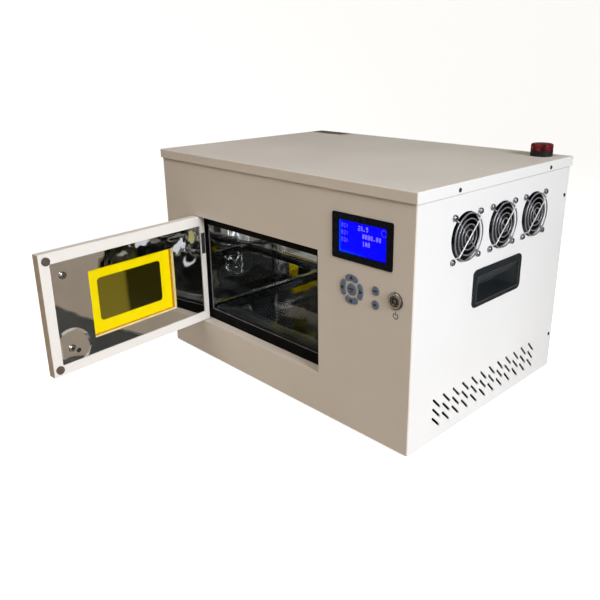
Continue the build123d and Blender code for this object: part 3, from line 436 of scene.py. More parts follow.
m = Mat("grip_end_painted_light", (0.080, 0.092, 0.100, 1), 0.5)
m.vary(25, 0.14, 4.0)
m.bump((1400, 0.00007, 0.55, 3.0, ONE))
M["grip_end_painted_light"] = m.set(spec=0.2).m

m = Mat("grip_floor_painted_shade", (0.0240, 0.0290, 0.0340, 1), 0.5)
m.vary(25, 0.14, 4.0)
m.bump((1400, 0.00007, 0.55, 3.0, ONE))
M["grip_floor_painted_shade"] = m.set(spec=0.15).m

# lighter plastic for the strips round the grip pockets: painted highlight on their edges
m = Mat("grip_bead", (0.060, 0.070, 0.078, 1), 0.40)
m.vary(60, 0.2, 4.0)
m.bump((1400, 0.00005, 0.4, 3.0, ONE))
M["grip_bead"] = m.m

# mid grey for the strips under the cover's skirts: painted shadow line
m = Mat("shadow_line_grey", (0.50, 0.50, 0.495, 1), 0.75)
m.vary(300, 0.2, 4.0)
m.bump((900, 0.0001, 0.5, 3.0, ONE))
M["seal"] = m.set(spec=0.1).m

m = Mat("black_plastic", (0.0060, 0.0072, 0.0095, 1), 0.38)
m.vary(50, 0.25, 4.0)
m.roughen(0.30, 0.5, 80)
m.bump((1500, 0.00005, 0.4, 3.0, ONE))
M["black"] = m.m

m = Mat("beacon_black", (0.0080, 0.0088, 0.0105, 1), 0.38)
m.vary(50, 0.25, 4.0)
m.roughen(0.30, 0.5, 80)
m.bump((1500, 0.00005, 0.4, 3.0, ONE))
M["beacon_black"] = m.set(spec=0.20).m

m = Mat("plug_dark", (0.004, 0.010, 0.014, 1), 0.35)
m.vary(200, 0.3, 4.0)
m.bump((900, 0.00004, 0.3, 3.0, ONE))
M["plug"] = m.m

m = Mat("fan_plastic", (0.0085, 0.0115, 0.0165, 1), 0.42)
m.vary(90, 0.3, 4.0)
m.stain((0.032, 0.036, 0.044, 1), 70, 0.55, 0.8, 0.4)
m.roughen(0.30, 0.6, 120)
m.bump((1300, 0.00006, 0.4, 3.0, ONE))
M["fan"] = m.m

m = Mat("bezel_plastic", (0.0030, 0.0045, 0.0085, 1), 0.30)
m.vary(60, 0.2, 4.0)
m.roughen(0.22, 0.36, 90)
m.bump((1800, 0.00004, 0.4, 3.0, ONE))
M["bezel"] = m.set(spec=0.10).m

m = Mat("white_core", (0.90, 0.885, 0.85, 1), 0.5)
m.vary(60, 0.05, 4.0)
m.bump((500, 0.0001, 0.3, 3.0, ONE))
M["core"] = m.m

m = Mat("magnet_face", (0.115, 0.090, 0.070, 1), 0.45, 0.35)
m.vary(260, 0.22, 5.0)
m.roughen(0.35, 0.6, 200)
m.bump((900, 0.00006, 0.5, 4.0, ONE))
M["magnet"] = m.m

m = Mat("heatsink", (0.62, 0.62, 0.63, 1), 0.35, 1.0)
m.vary(40, 0.08)
m.bump((700, 0.00004, 0.4, 3.0, (0.05, 1, 1)))
M["alu"] = m.m

m = Mat("board_green", (0.010, 0.075, 0.030, 1), 0.35)
m.vary(200, 0.3, 4.0)
m.bump((600, 0.00008, 0.4, 3.0, ONE))
M["board"] = m.m

m = Mat("lamp_glass", (0.80, 0.83, 0.88, 1), 0.06)
m.roughen(0.03, 0.10, 30)
m.bump((40, 0.0001, 0.1, 2.0, ONE))
M["lamp_glass"] = m.set(alpha=0.30).m

m = Mat("lamp_dies", (0.70, 0.60, 0.22, 1), 0.3)
m.vary(300, 0.15, 3.0)
m.bump((800, 0.00004, 0.3, 2.0, ONE))
M["dies"] = m.m

m = Mat("case_grey", (0.040, 0.041, 0.048, 1), 0.5, 0.2)
m.vary(30, 0.1)
m.bump((600, 0.00004, 0.4, 3.0, ONE))
M["case"] = m.m

m = Mat("key_grey", (0.125, 0.170, 0.250, 1), 0.5)
m.vary(160, 0.12, 4.0)
m.roughen(0.42, 0.6, 200)
m.bump((1500, 0.00005, 0.4, 3.0, ONE))
M["key"] = m.m

m = Mat("key_mark", (0.006, 0.006, 0.008, 1), 0.5)
m.vary(300, 0.3, 3.0)
m.bump((1500, 0.00002, 0.3, 2.0, ONE))
M["mark"] = m.m

m = Mat("button_dark", (0.060, 0.055, 0.050, 1), 0.30, 0.85)
m.vary(300, 0.2, 4.0)
m.roughen(0.22, 0.42, 300)
m.bump((1200, 0.00004, 0.35, 3.0, ONE))
M["plunger"] = m.m

m = Mat("button_ring", (0.46, 0.44, 0.41, 1), 0.12, 1.0)
m.vary(200, 0.1, 4.0)
m.roughen(0.10, 0.26, 260)
m.bump((1500, 0.00003, 0.3, 2.0, ONE))
M["ring"] = m.m

m = Mat("red_lens", (0.215, 0.017, 0.022, 1), 0.20)
m.stain((0.020, 0.003, 0.004, 1), 95, 0.40, 0.58, 0.90, 3.0, (1, 1, 0.7))
m.roughen(0.10, 0.26, 120)
m.bump((260, 0.0003, 0.3, 2.0, (1, 1, 0.1)))
M["red"] = m.set(spec=0.14).m

m = Mat("bush_plastic", (0.55, 0.53, 0.48, 1), 0.5)
m.vary(200, 0.08)
m.bump((900, 0.00005, 0.4, 3.0, ONE))
M["bush"] = m.m

# lit display: even blue with a paler band at the left and bottom edges
m = Mat("display_blue", (0.0, 0.0, 0.30, 1), 0.35)
sep = m.node("ShaderNodeSeparateXYZ")
m.link(m.coord(), sep.inputs["Vector"])
x0, z0 = (DISP_X - VIEW_W / 2) * MM, (DISP_Z - VIEW_H / 2) * MM
left = m.remap(sep.outputs["X"], x0, x0 + 0.0045, 1, 0)
low = m.remap(sep.outputs["Z"], z0, z0 + 0.0035, 1, 0)
fade = m.remap(sep.outputs["X"], x0, x0 + 0.045, 1, 0)
edge = m.math("MAXIMUM", left, m.math("MULTIPLY", low, fade))
n = m.noise(60, 3.0)
edge = m.math("MULTIPLY", edge, m.remap(n, 0.3, 0.7, 0.75, 1.0))
m.link(m.mix(edge, (0.0008, 0.0003, 0.965, 1), (0.0, 0.085, 1.0, 1)), m.p.inputs["Emission Color"])
m.bump((1500, 0.00003, 0.3, 2.0, ONE))
M["lcd"] = m.set(emit=0.98, spec=0.05).m

m = Mat("display_marks", (0.30, 0.25, 0.55, 1), 0.4)
n = m.noise(420, 3.0)
m.link(m.mix(m.remap(n, 0.35, 0.65, 0, 1), (0.30, 0.23, 0.98, 1), (0.48, 0.40, 1.0, 1)), m.p.inputs["Emission Color"])
M["pixel"] = m.set(emit=0.95).m

m = Mat("display_mid_marks", (0.10, 0.08, 0.40, 1), 0.4)
n = m.noise(420, 3.0)
m.link(m.mix(m.remap(n, 0.35, 0.65, 0, 1), (0.11, 0.08, 0.95, 1), (0.22, 0.16, 1.0, 1)), m.p.inputs["Emission Color"])
M["pixel_mid"] = m.set(emit=0.95).m

m = Mat("display_dim_marks", (0.10, 0.08, 0.40, 1), 0.4)
n = m.noise(420, 3.0)
m.link(m.mix(m.remap(n, 0.35, 0.65, 0, 1), (0.04, 0.03, 0.90, 1), (0.09, 0.07, 0.95, 1)), m.p.inputs["Emission Color"])
M["pixel_dim"] = m.set(emit=0.9).m

m = Mat("display_glass", (0.02, 0.02, 0.06, 1), 0.06)
m.roughen(0.04, 0.10, 60)
m.bump((50, 0.00005, 0.1, 2.0, ONE))
M["glass"] = m.set(alpha=0.04).m

# amber sheet: bright where the white door backs it; in the opening a nearly opaque pane with the light and shade of
# the view through it painted on
m = Mat("amber_clear", (0.60, 0.47, 0.01, 1), 0.06)
m.roughen(0.03, 0.10, 40)
m.bump((30, 0.0001, 0.12, 2.0, ONE))
M["amber_clear"] = m.set(alpha=0.02).m

m = Mat("amber_backed", (0.80, 0.655, 0.001, 1), 0.28)
m.vary(20, 0.02, 4.0)
m.roughen(0.20, 0.34, 60)
m.bump((400, 0.00004, 0.25, 3.0, ONE))
M["amber"] = m.set(spec=0.10).m

m = Mat("amber_edge", (0.62, 0.30, 0.004, 1), 0.30)
m.vary(80, 0.12, 4.0, (1, 1, 0.2))
m.roughen(0.20, 0.40, 80)
m.bump((500, 0.00005, 0.3, 3.0, ONE))
M["amber_edge"] = m.m

m = Mat("amber_pane_painted_view", (0.030, 0.026, 0.003, 1), 0.08)
# painted view through the pane: olive on the free side, near black towards the hinge side
sep = m.node("ShaderNodeSeparateXYZ")
m.link(m.coord(), sep.inputs["Vector"])
far, near = door(WIN_S + WIN_W / 2, 0, 0).y * MM, door(WIN_S - WIN_W / 2, 0, 0).y * MM
f = m.math("ADD", m.remap(sep.outputs["Y"], far, near, 0.0, 1.0), m.remap(m.noise(14, 3.0), 0.3, 0.7, -0.02, 0.02))
m.colour(m.mix(m.remap(f, 0.40, 0.46, 0, 1), (0.118, 0.096, 0.009, 1), (0.0058, 0.0066, 0.0016, 1)))
m.roughen(0.06, 0.16, 40)
m.bump((30, 0.00008, 0.12, 2.0, ONE))
m.link(m.remap(f, 0.40, 0.46, 0.96, 0.99), m.p.inputs["Alpha"])
M["pane_painted_view"] = m.set(spec=0.12).m

LOOKS = {
    "front_panel": "front", "side_panel_right": "cabinet", "side_panel_left": "cabinet",
    # the base pan takes the dark case grey: painted shade, so the inside seen through the slots stays dark
    "rear_panel": "cabinet", "base_pan": "case", "top_cover": "cover",
    "top_cover_screws": "screw", "rear_panel_screws": "screw", "rubber_feet": "foot",
    "carry_handle_right": "grip", "carry_handle_left": "grip",
    "fan_housings": "fan", "finger_guards": "guard", "fan_screws": "fan_screw",
    "fan_rotor_front": "fan", "fan_rotor_middle": "fan", "fan_rotor_rear": "fan",
    "chamber_liner": "liner", "chamber_face_frame": "edge_steel", "door_gasket": "gasket",
    "chamber_supports": "steel", "sample_tray": "tray", "quartz_window": "lamp_glass",
    "lamp_frame": "alu", "led_board": "board", "led_emitters": "dies", "led_heatsink": "alu",
    "display_bezel": "bezel", "display_lens": "glass", "display_module": "lcd",
    "control_board": "board", "start_button_body": "ring", "start_button": "plunger",
    "beacon_base": "beacon_black", "beacon_lens": "red", "beacon_lamp": "dies",
    "power_inlet": "black", "inlet_pins": "chrome", "power_switch_body": "black",
    "power_rocker": "black", "power_supply": "case", "lamp_driver": "case",
    "pivot_bushes": "bush", "door_pivot_pins": "steel", "door_shell": "door",
    "door_core": "core", "door_mirror_panel": "mirror", "door_window": "amber_clear",
    "door_handle": "chrome", "door_handle_screws": "chrome", "door_magnets": "magnet",
    "door_edge_plate": "plate_dark", "key_up": "key", "key_down": "key", "key_left": "key",
    "key_right": "key", "key_enter": "key", "key_upper_round": "key", "key_lower_round": "key",
}
for name, obj in NODES.items():
    obj.data.materials.clear()
    obj.data.materials.append(M[LOOKS[name]])


def second_look(node, mat, test):
    """Give the faces of a node that pass the test another surface."""
    me = NODES[node].data
    me.materials.append(M[mat])
    for p in me.polygons:
        if test(p.center, p.normal):
            p.material_index = len(me.materials) - 1


# painted shade: the tray's outer front wall gets a near-black copy of its steel
second_look("sample_tray", "tray_front_painted_shade", lambda c, n: n.y < -0.6 and c.y < -0.1370)
# and the slopes round its middle get a darker bluish copy: painted dark reflection
me = NODES["sample_tray"].data
me.materials.append(M["tray_slope_painted_shade"])
for q in me.polygons:
    if 0.90 < q.normal.z < 0.9995 and q.center.z > 0.0719:
        q.material_index = len(me.materials) - 1
# painted shade: the leaf's free edge gets a darker brown copy of its paint
second_look("door_shell", "door_edge_shade", lambda c, n: abs(n.dot(D_S)) > 0.75 and c.y < -0.3)
# painted light and shade on one plastic: darker outer rim, lighter pocket end walls, darker pocket floor and back
for name, k in (("carry_handle_right", 1), ("carry_handle_left", -1)):
    second_look(name, "grip_rim_painted_shade", lambda c, n, k=k: c.x * k > (XR + 0.1) * MM and n.x * k > 0.2)
    me = NODES[name].data
    me.materials.append(M["grip_end_painted_light"])
    me.materials.append(M["grip_floor_painted_shade"])
    for q in me.polygons:
        inside = abs(q.center.y - 0.0008) < 0.0476 and abs(q.center.z - 0.1741) < 0.0178 and q.center.x * k < (XR + 1) * MM
        if inside and q.normal.z > 0.8:
            q.material_index = 3
        elif inside and abs(q.normal.y) > 0.8:
            q.material_index = 2
        elif inside and q.normal.x * k > 0.8:
            q.material_index = 3
second_look("finger_guards", "guard_leg", lambda c, n: any(
    abs((c.y - y * MM) - (c.z - FAN_Z * MM)) < 0.0016 and abs(c.y - y * MM) < 0.028 for y in FAN_Y) and n.x > -0.2)
# painted light and shade: the cover's side and rear faces take the lit white, its front faces the shaded cream
second_look("top_cover", "cabinet", lambda c, n: abs(n.x) > 0.6 or n.y > 0.6)
second_look("top_cover", "front", lambda c, n: n.y < -0.6)
# painted shade: the ring's outer side takes the black of the key marks, as a dark outline round it
second_look("start_button_body", "mark", lambda c, n: abs(n.y) < 0.5 and c.y < YF * MM and
            math.hypot(c.x - START_X * MM, c.z - START_Z * MM) > 0.0088)


# ---------------------------------------------------------------- mesh helpers
def mesh_piece(name, verts, faces, mat, body, smooth=False, face_mats=None, scale=MM):
    me = bpy.data.meshes.new(name)
    me.from_pydata([tuple(Vector(v) * scale) for v in verts], [], faces)
    for k in (mat if isinstance(mat, (list, tuple)) else [mat]):
        me.materials.append(M[k])
    if face_mats:
        for p, i in zip(me.polygons, face_mats):
            p.material_index = i
    if smooth:
        for p in me.polygons:
            p.use_smooth = True
    me.validate()
    me.update()
    obj = bpy.data.objects.new(name, me)
    bpy.context.scene.collection.objects.link(obj)
    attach(obj, body)
    return obj


def prism(outline, base, u, v, w, depth):
    """Closed prism: outline of (a, b) on the plane base + a*u + b*v, going depth along w."""
    n = len(outline)
    lo = [base + u * a + v * b for a, b in outline]
    hi = [p + w * depth for p in lo]
    faces = [list(range(n))[::-1], list(range(n, 2 * n))]
    faces += [[i, (i + 1) % n, n + (i + 1) % n, n + i] for i in range(n)]
    return lo + hi, faces


def joined(parts):
    verts, faces = [], []
    for v, f in parts:
        k = len(verts)
        verts += v
        faces += [[i + k for i in face] for face in f]
    return verts, faces


X, Y, Z = Vector((1, 0, 0)), Vector((0, 1, 0)), Vector((0, 0, 1))


# ---------------------------------------------------------------- screw heads
def cross_head(r, h, recess):
    """Pan head with a cross recess, standing on z = 0, in millimetres."""
    prof = [(0.0, -1.0), (r * 0.52, -1.0), (r * 0.52, 0.0), (r, 0.0), (r, h * 0.30)]
    for i in range(1, 8):
        a = math.radians(90 * i / 8)
        prof.append((r * (0.30 + 0.70 * math.cos(a)), h * (0.30 + 0.70 * math.sin(a))))
    prof.append((0.0, h))
    segs = 40
    bm = bmesh.new()
    rings = []
    for pr, pz in prof:
        if pr == 0:
            rings.append([bm.verts.new((0, 0, pz))])
        else:
            rings.append([bm.verts.new((pr * math.cos(2 * math.pi * k / segs),
                                        pr * math.sin(2 * math.pi * k / segs), pz)) for k in range(segs)])
    for a, b in zip(rings, rings[1:]):
        for k in range(segs):
            q = [a[k % len(a)], a[(k + 1) % len(a)], b[(k + 1) % len(b)], b[k % len(b)]]
            bm.faces.new(list(dict.fromkeys(q)))
    bmesh.ops.recalc_face_normals(bm, faces=bm.faces)
    head = bpy.data.meshes.new("head_tmp")
    bm.to_mesh(head)
    bm.free()
    cut = bmesh.new()
    w, l, d = r * 0.16, r * 0.62, recess
    for turn in (0, 90):
        m = Matrix.Rotation(math.radians(turn), 4, "Z")
        vs = []
        for z, k in ((h + 0.6, 1.0), (h - d, 0.45)):
            for sx, sy in ((-1, -1), (1, -1), (1, 1), (-1, 1)):
                vs.append(cut.verts.new(m @ Vector((sx * l * k, sy * w, z))))
        for f in ((3, 2, 1, 0), (4, 5, 6, 7), (0, 1, 5, 4), (1, 2, 6, 5), (2, 3, 7, 6), (3, 0, 4, 7)):
            cut.faces.new([vs[i] for i in f])
    bmesh.ops.recalc_face_normals(cut, faces=cut.faces)
    cme = bpy.data.meshes.new("cut_tmp")
    cut.to_mesh(cme)
    cut.free()
    a = bpy.data.objects.new("head_tmp", head)
    b = bpy.data.objects.new("cut_tmp", cme)
    for o in (a, b):
        bpy.context.scene.collection.objects.link(o)
    mod = a.modifiers.new("cut", "BOOLEAN")
    mod.operation = "DIFFERENCE"
    mod.solver = "EXACT"
    mod.use_self = True
    mod.object = b
    bpy.context.view_layer.update()
    me = bpy.data.meshes.new_from_object(a.evaluated_get(bpy.context.evaluated_depsgraph_get()))
    out = [v.co.copy() for v in me.vertices], [list(p.vertices) for p in me.polygons]
    for o in (a, b):
        bpy.data.objects.remove(o)
    for me_ in (head, cme, me):
        bpy.data.meshes.remove(me_)
    return out


def heads(name, template, spots, normal, mat, body, node):
    parts = []
    for p, nrm in zip(spots, normal):
        rot = nrm.to_track_quat("Z", "Y").to_matrix() @ Matrix.Rotation(rng.uniform(0, 1.5), 3, "Z")
        parts.append(([rot @ v + p for v in template[0]], template[1]))
    v, f = joined(parts)
    obj = mesh_piece(name, v, f, mat, body)
    shade_by_angle(obj, 38)
    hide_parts(node)
    return obj


def shade_by_angle(obj, deg):
    """Smooth shading that keeps the edges sharper than the angle."""
    me = obj.data
    bm = bmesh.new()
    bm.from_mesh(me)
    for f in bm.faces:
        f.smooth = True
    for e in bm.edges:
        if len(e.link_faces) == 2:
            e.smooth = e.calc_face_angle(0) < math.radians(deg)
        else:
            e.smooth = False
    bm.to_mesh(me)
    bm.free()


fan_head = cross_head(3.55, 2.0, 1.1)
spots = [Vector((XR + 1.7, y + a * 25, FAN_Z + b * 25)) for y in FAN_Y for a in (-1, 1) for b in (-1, 1)]
heads("fan_screw_heads", fan_head, spots, [X] * 12, "fan_screw", "cabinet", "fan_screws")

small_head = cross_head(2.55, 1.08, 0.6)
spots = [Vector((s * (XR + 2.4), YF + y, ZB + 295.1)) for s in (-1, 1) for y in (70.6, 272.1)]
heads("cover_screw_heads", small_head, spots, [X * -1, X * -1, X, X], "screw", "cabinet", "top_cover_screws")
spots = [Vector((s * XR, YF + 323.5, ZB + z)) for s in (-1, 1) for z in (252.1, 50.6)]
heads("rear_screw_heads", small_head, spots, [X * -1, X * -1, X, X], "screw", "cabinet", "rear_panel_screws")

handle_head = cross_head(4.9, 2.4, 1.6)
spots = [door(221.3, 5.2, ZB + 134.4 + k * 48) for k in (-1, 1)]
heads("handle_screw_heads", handle_head, spots, [D_T, D_T], "screw_steel", "door", "door_handle_screws")


# ---------------------------------------------------------------- door window tint
def rounded(w, h, r, n=6):
    pts = []
    for cx, cy, a0 in ((w / 2 - r, h / 2 - r, 0), (-w / 2 + r, h / 2 - r, 90),
                       (-w / 2 + r, -h / 2 + r, 180), (w / 2 - r, -h / 2 + r, 270)):
        for i in range(n + 1):
            a = math.radians(a0 + 90 * i / n)
            pts.append((cx + r * math.cos(a), cy + r * math.sin(a)))
    return pts


def window_layers():
    """The sheet's yellow back where the door skin is behind it, its deep edges, its middle painted with the view
    through it.
    """
    verts, faces, mats = [], [], []

    def put(pts, fs, k):
        n = len(verts)
        verts.extend(pts)
        faces.extend([[i + n for i in f] for f in fs])
        mats.extend([k] * len(fs))

    W, H = POCKET_W - 0.5, POCKET_H - 0.5
    inner = rounded(WIN_W, WIN_H, WIN_R)
    n = len(inner)
    # outer ring sampled to match the inner one, corner by corner
    outer = []
    for i, (a, b) in enumerate(inner):
        k = i // 7
        sx = (1, -1, -1, 1)[k]
        sy = (1, 1, -1, -1)[k]
        j = i % 7
        if j == 3:
            outer.append((sx * W / 2, sy * H / 2))
        elif (j < 3) == (k in (0, 2)):
            f = (H / 2 - abs(b)) * 0
            outer.append((sx * W / 2, sy * (H / 2 - (3 - j if j < 3 else j - 3) * 3.0)))
        else:
            outer.append((sx * (W / 2 - (j - 3 if j > 3 else 3 - j) * 3.0), sy * H / 2))
    t0, t1, t2 = -4.75, -4.55, 0.1
    ring = []
    for t in (t0, t1):
        for loop in (inner, outer):
            ring.append([door(WIN_S + a, t, WIN_Z + b) for a, b in loop])
    pts = ring[0] + ring[1] + ring[2] + ring[3]
    fs = []
    for i in range(n):
        j = (i + 1) % n
        fs.append([i, j, n + j, n + i])                       # back
        fs.append([2 * n + i, 3 * n + i, 3 * n + j, 2 * n + j])  # front
        fs.append([i, 2 * n + i, 2 * n + j, j])               # round the opening
        fs.append([n + i, n + j, 3 * n + j, 3 * n + i])       # outside
    put(pts, fs, 0)
    # four thin strips standing on the outer edge
    for (a0, b0, a1, b1) in ((-W / 2, -H / 2, W / 2, -H / 2 + 0.15), (-W / 2, H / 2 - 0.15, W / 2, H / 2),
                             (-W / 2, -H / 2 + 0.15, -W / 2 + 0.15, H / 2 - 0.15),
                             (W / 2 - 0.15, -H / 2 + 0.15, W / 2, H / 2 - 0.15)):
        c = [(a0, b0), (a1, b0), (a1, b1), (a0, b1)]
        v, f = prism(c, door(WIN_S, t1, WIN_Z), D_S, Z, D_T, t2 - t1)
        put(v, f, 1)
    # pane in the opening, nearly opaque, with the view through it painted on
    pane = rounded(WIN_W - 0.05, WIN_H - 0.05, WIN_R)
    v, f = prism(pane, door(WIN_S, t0 + 0.03, WIN_Z), D_S, Z, D_T, 0.12)
    put(v, f, 2)
    return verts, faces, mats


v, f, k = window_layers()
tint = mesh_piece("window_tint", v, f, ["amber", "amber_edge", "pane_painted_view"], "door", face_mats=k)
bm = bmesh.new(); bm.from_mesh(tint.data)
bmesh.ops.recalc_face_normals(bm, faces=bm.faces)
bm.to_mesh(tint.data); bm.free()

def disc(c, n, r, h, segs=28, crown=0.25):
    """A low round plug with a crowned face, standing on c along n."""
    u = n.orthogonal().normalized()
    v = n.cross(u)
    rings = [(r, 0.0), (r, h * 0.6), (r * 0.86, h * 0.9), (r * 0.5, h + crown * 0.6), (0.0, h + crown)]
    verts, faces = [], []
    for rr, hh in rings[:-1]:
        for k in range(segs):
            a = 2 * math.pi * k / segs
            verts.append(c + u * (rr * math.cos(a)) + v * (rr * math.sin(a)) + n * hh)
    top = len(verts)
    verts.append(c + n * rings[-1][1])
    for j in range(len(rings) - 2):
        for k in range(segs):
            a, b = j * segs + k, j * segs + (k + 1) % segs
            faces.append([a, b, b + segs, a + segs])
    j = (len(rings) - 2) * segs
    for k in range(segs):
        faces.append([j + k, j + (k + 1) % segs, top])
    faces.append(list(range(segs))[::-1])
    return verts, faces


v, f = disc(door(213.0, 5.15, ZB + 80.9), D_T, 3.1, 0.6)
shade_by_angle(mesh_piece("door_plug", v, f, "plug", "door"), 40)

# ---------------------------------------------------------------- key marks
def tri(cx, cz, turn, r=3.2):
    out = []
    for k in range(3):
        a = math.radians(turn + 120 * k)
        out.append((cx + r * math.cos(a), cz + r * math.sin(a)))
    return out


def bar(cx, cz, w, h, r):
    return [(cx + a, cz + b) for a, b in rounded(w, h, r, 4)]


def on_front(outlines, y, depth=-0.05):
    return joined([prism(o, Vector((0, y, 0)), X, Z, Y, depth) for o in outlines])


KEY_FACE = YF - 1.0
for name, turn in (("up", 90), ("down", 270), ("left", 180), ("right", 0)):
    cx = KEY_X + KEY_PITCH * math.cos(math.radians(turn))
    cz = KEY_Z + KEY_PITCH * math.sin(math.radians(turn))
    v, f = on_front([tri(cx, cz, turn)], KEY_FACE)
    mesh_piece(f"key_{name}_mark", v, f, "mark", f"key_{name}")
v, f = on_front([bar(KEY_X, KEY_Z + 0.6, 7.6, 2.0, 0.9), bar(KEY_X, KEY_Z - 2.3, 4.4, 1.3, 0.6)], KEY_FACE)
mesh_piece("key_enter_mark", v, f, "mark", "key_enter")
v, f = on_front([bar(AUX_X, AUX_Z1, 5.8, 1.9, 0.9)], KEY_FACE)
mesh_piece("key_upper_mark", v, f, "mark", "key_upper")
v, f = on_front([bar(AUX_X, AUX_Z2, 4.4, 1.9, 0.9)], KEY_FACE)
mesh_piece("key_lower_mark", v, f, "mark", "key_lower")


# plain power symbol under the push button
def arc_band(cx, cz, r0, r1, a0, a1, n=28):
    out = [(cx + r1 * math.cos(math.radians(a0 + (a1 - a0) * i / n)),
            cz + r1 * math.sin(math.radians(a0 + (a1 - a0) * i / n))) for i in range(n + 1)]
    return out + [(cx + r0 * math.cos(math.radians(a1 - (a1 - a0) * i / n)),
                   cz + r0 * math.sin(math.radians(a1 - (a1 - a0) * i / n))) for i in range(n + 1)]


def band_prism(cx, cz, r0, r1, a0, a1, y, depth, n=28):
    """Like prism, but the ends' faces are quads, since the band is bent."""
    o = arc_band(cx, cz, r0, r1, a0, a1, n)
    pts = [Vector((a, y, b)) for a, b in o]
    pts += [p + Y * depth for p in pts]
    N = len(o)
    fs = []
    for i in range(n):
        j = N - 1 - i
        fs.append([i, i + 1, j - 1, j])
        fs.append([N + i, N + j, N + j - 1, N + i + 1])
    for i in range(N):
        j = (i + 1) % N
        fs.append([i, N + i, N + j, j])
    return pts, fs


sx, sz = START_X + 0.5, START_Z - 17.2
v, f = joined([band_prism(sx, sz, 2.75, 3.75, 125, 415, YF, -0.05),
               prism([(sx - 0.5, sz + 0.4), (sx + 0.5, sz + 0.4), (sx + 0.5, sz + 4.4), (sx - 0.5, sz + 4.4)],
                     Vector((0, YF, 0)), X, Z, Y, -0.05)])
mesh_piece("start_symbol", v, f, "mark", "cabinet")

# ---------------------------------------------------------------- display digits
FONT = {
    "0": "01110 10001 10011 10101 11001 10001 01110", "1": "00100 01100 00100 00100 00100 00100 01110",
    "2": "01110 10001 00001 00110 01000 10000 11111", "3": "01110 10001 00001 00110 00001 10001 01110",
    "5": "11111 10000 11110 00001 00001 10001 01110", "8": "01110 10001 10001 01110 10001 10001 01110",
    "-": "00000 00000 00000 11111 00000 00000 00000", ".": "00000 00000 00000 00000 00000 01100 01100",
    ":": "00000 01100 01100 00000 01100 01100 00000", "=": "00000 00000 11111 00000 11111 00000 00000",
}
PX = VIEW_W / 128.0


def text_cells(text, col, row):
    """Lit cells of a line of digits, whose first cell is at (col, row) from the top left."""
    cells = []
    for i, ch in enumerate(text):
        if ch == " ":
            continue
        for r, bits in enumerate(FONT[ch].split()):
            for c, b in enumerate(bits):
                if b == "1":
                    cells.append((col + i * 7 + c, row + r * 1.35))
    return cells


values = text_cells("28.5", 52, 7) + text_cells("0000.00", 64, 22) + text_cells("100", 64, 37)
lines = text_cells("01:", 7, 7) + text_cells("02:", 7, 22) + text_cells("03:", 7, 37)
x_left, z_top = DISP_X - VIEW_W / 2, DISP_Z + VIEW_H / 2
for name, cells, look in (("display_digits", values, "pixel"), ("display_line_numbers", lines, "pixel_mid")):
    parts = []
    for c, r in cells:
        cx, cz = x_left + (c + 0.5) * PX, z_top - (r + 0.5) * PX
        h, g = PX * 0.44, PX * 0.52
        parts.append(prism([(cx - h, cz - g), (cx + h, cz - g), (cx + h, cz + g), (cx - h, cz + g)],
                           Vector((0, YF + 1.2, 0)), X, Z, Y, -0.04))
    v, f = joined(parts)
    mesh_piece(name, v, f, look, "cabinet")
v, f = band_prism(x_left + 118.5 * PX, z_top - 11.5 * PX, 6.2 * PX, 7.1 * PX, 20, 350, YF + 1.2, -0.04, 36)
mesh_piece("display_ring", v, f, "pixel_dim", "cabinet")

# ---------------------------------------------------------------- small trim
# painted shadow: thin grey strips between the cover's side skirts and the panels, just showing below them as the
# shadow line
bars = [prism([(YF + 0.5, ZT - 14.0), (YB - 0.5, ZT - 14.0), (YB - 0.5, ZT - 9.0), (YF + 0.5, ZT - 9.0)],
              Vector((k * XR, 0, 0)), Y, Z, X * k, 0.5) for k in (-1, 1)]
v, f = joined(bars)
obj = mesh_piece("cover_shadow_line", v, f, "seal", "cabinet")
bm = bmesh.new(); bm.from_mesh(obj.data)
bmesh.ops.recalc_face_normals(bm, faces=bm.faces)
bm.to_mesh(obj.data); bm.free()


def ring_y(cx, cz, r0, r1, y0, y1, segs=48):
    """A flat ring facing the front, with rounded-off outer and inner edges."""
    prof = [(r0, y0), (r0, y1 + 0.1), (r0 + 0.12, y1), (r1 - 0.12, y1), (r1, y1 + 0.1), (r1, y0)]
    verts, faces = [], []
    for r, y in prof:
        for k in range(segs):
            a = 2 * math.pi * k / segs
            verts.append(Vector((cx + r * math.cos(a), y, cz + r * math.sin(a))))
    n = len(prof)
    for i in range(n):
        for k in range(segs):
            a, b = i * segs + k, i * segs + (k + 1) % segs
            c, d = ((i + 1) % n) * segs + (k + 1) % segs, ((i + 1) % n) * segs + k
            faces.append([a, d, c, b])
    return verts, faces


# lighter metal rings on the plunger's face: partly its concentric marks, partly painted highlight on an edge
v, f = joined([ring_y(START_X, START_Z, 4.7, 5.3, YF - 1.7, YF - 1.85), ring_y(START_X, START_Z, 1.0, 1.9, YF - 1.7, YF - 1.85)])
mesh_piece("start_button_rings", v, f, "screw_steel", "start_plunger")

# raised lighter strip round each grip's pocket: painted highlight where the pocket's edges catch the light
GRIP_Y, GRIP_Z = YF + 166.3, ZB + 171.1
for name, k in (("right", 1), ("left", -1)):
    bars = []
    for a0, b0, a1, b1 in ((-47.5, -18.2, 47.5, -17.5), (46.8, -17.5, 47.5, 15.4), (-47.5, -17.5, -46.8, 15.4)):
        bars.append(prism([(a0, b0), (a1, b0), (a1, b1), (a0, b1)],
                          Vector((k * (XR + 1.9), GRIP_Y, GRIP_Z)), Y, Z, X * k, 0.3))
    v, f = joined(bars)
    obj = mesh_piece(f"grip_bead_{name}", v, f, "grip_bead", "cabinet")
    bm = bmesh.new(); bm.from_mesh(obj.data)
    bmesh.ops.recalc_face_normals(bm, faces=bm.faces)
    bm.to_mesh(obj.data); bm.free()

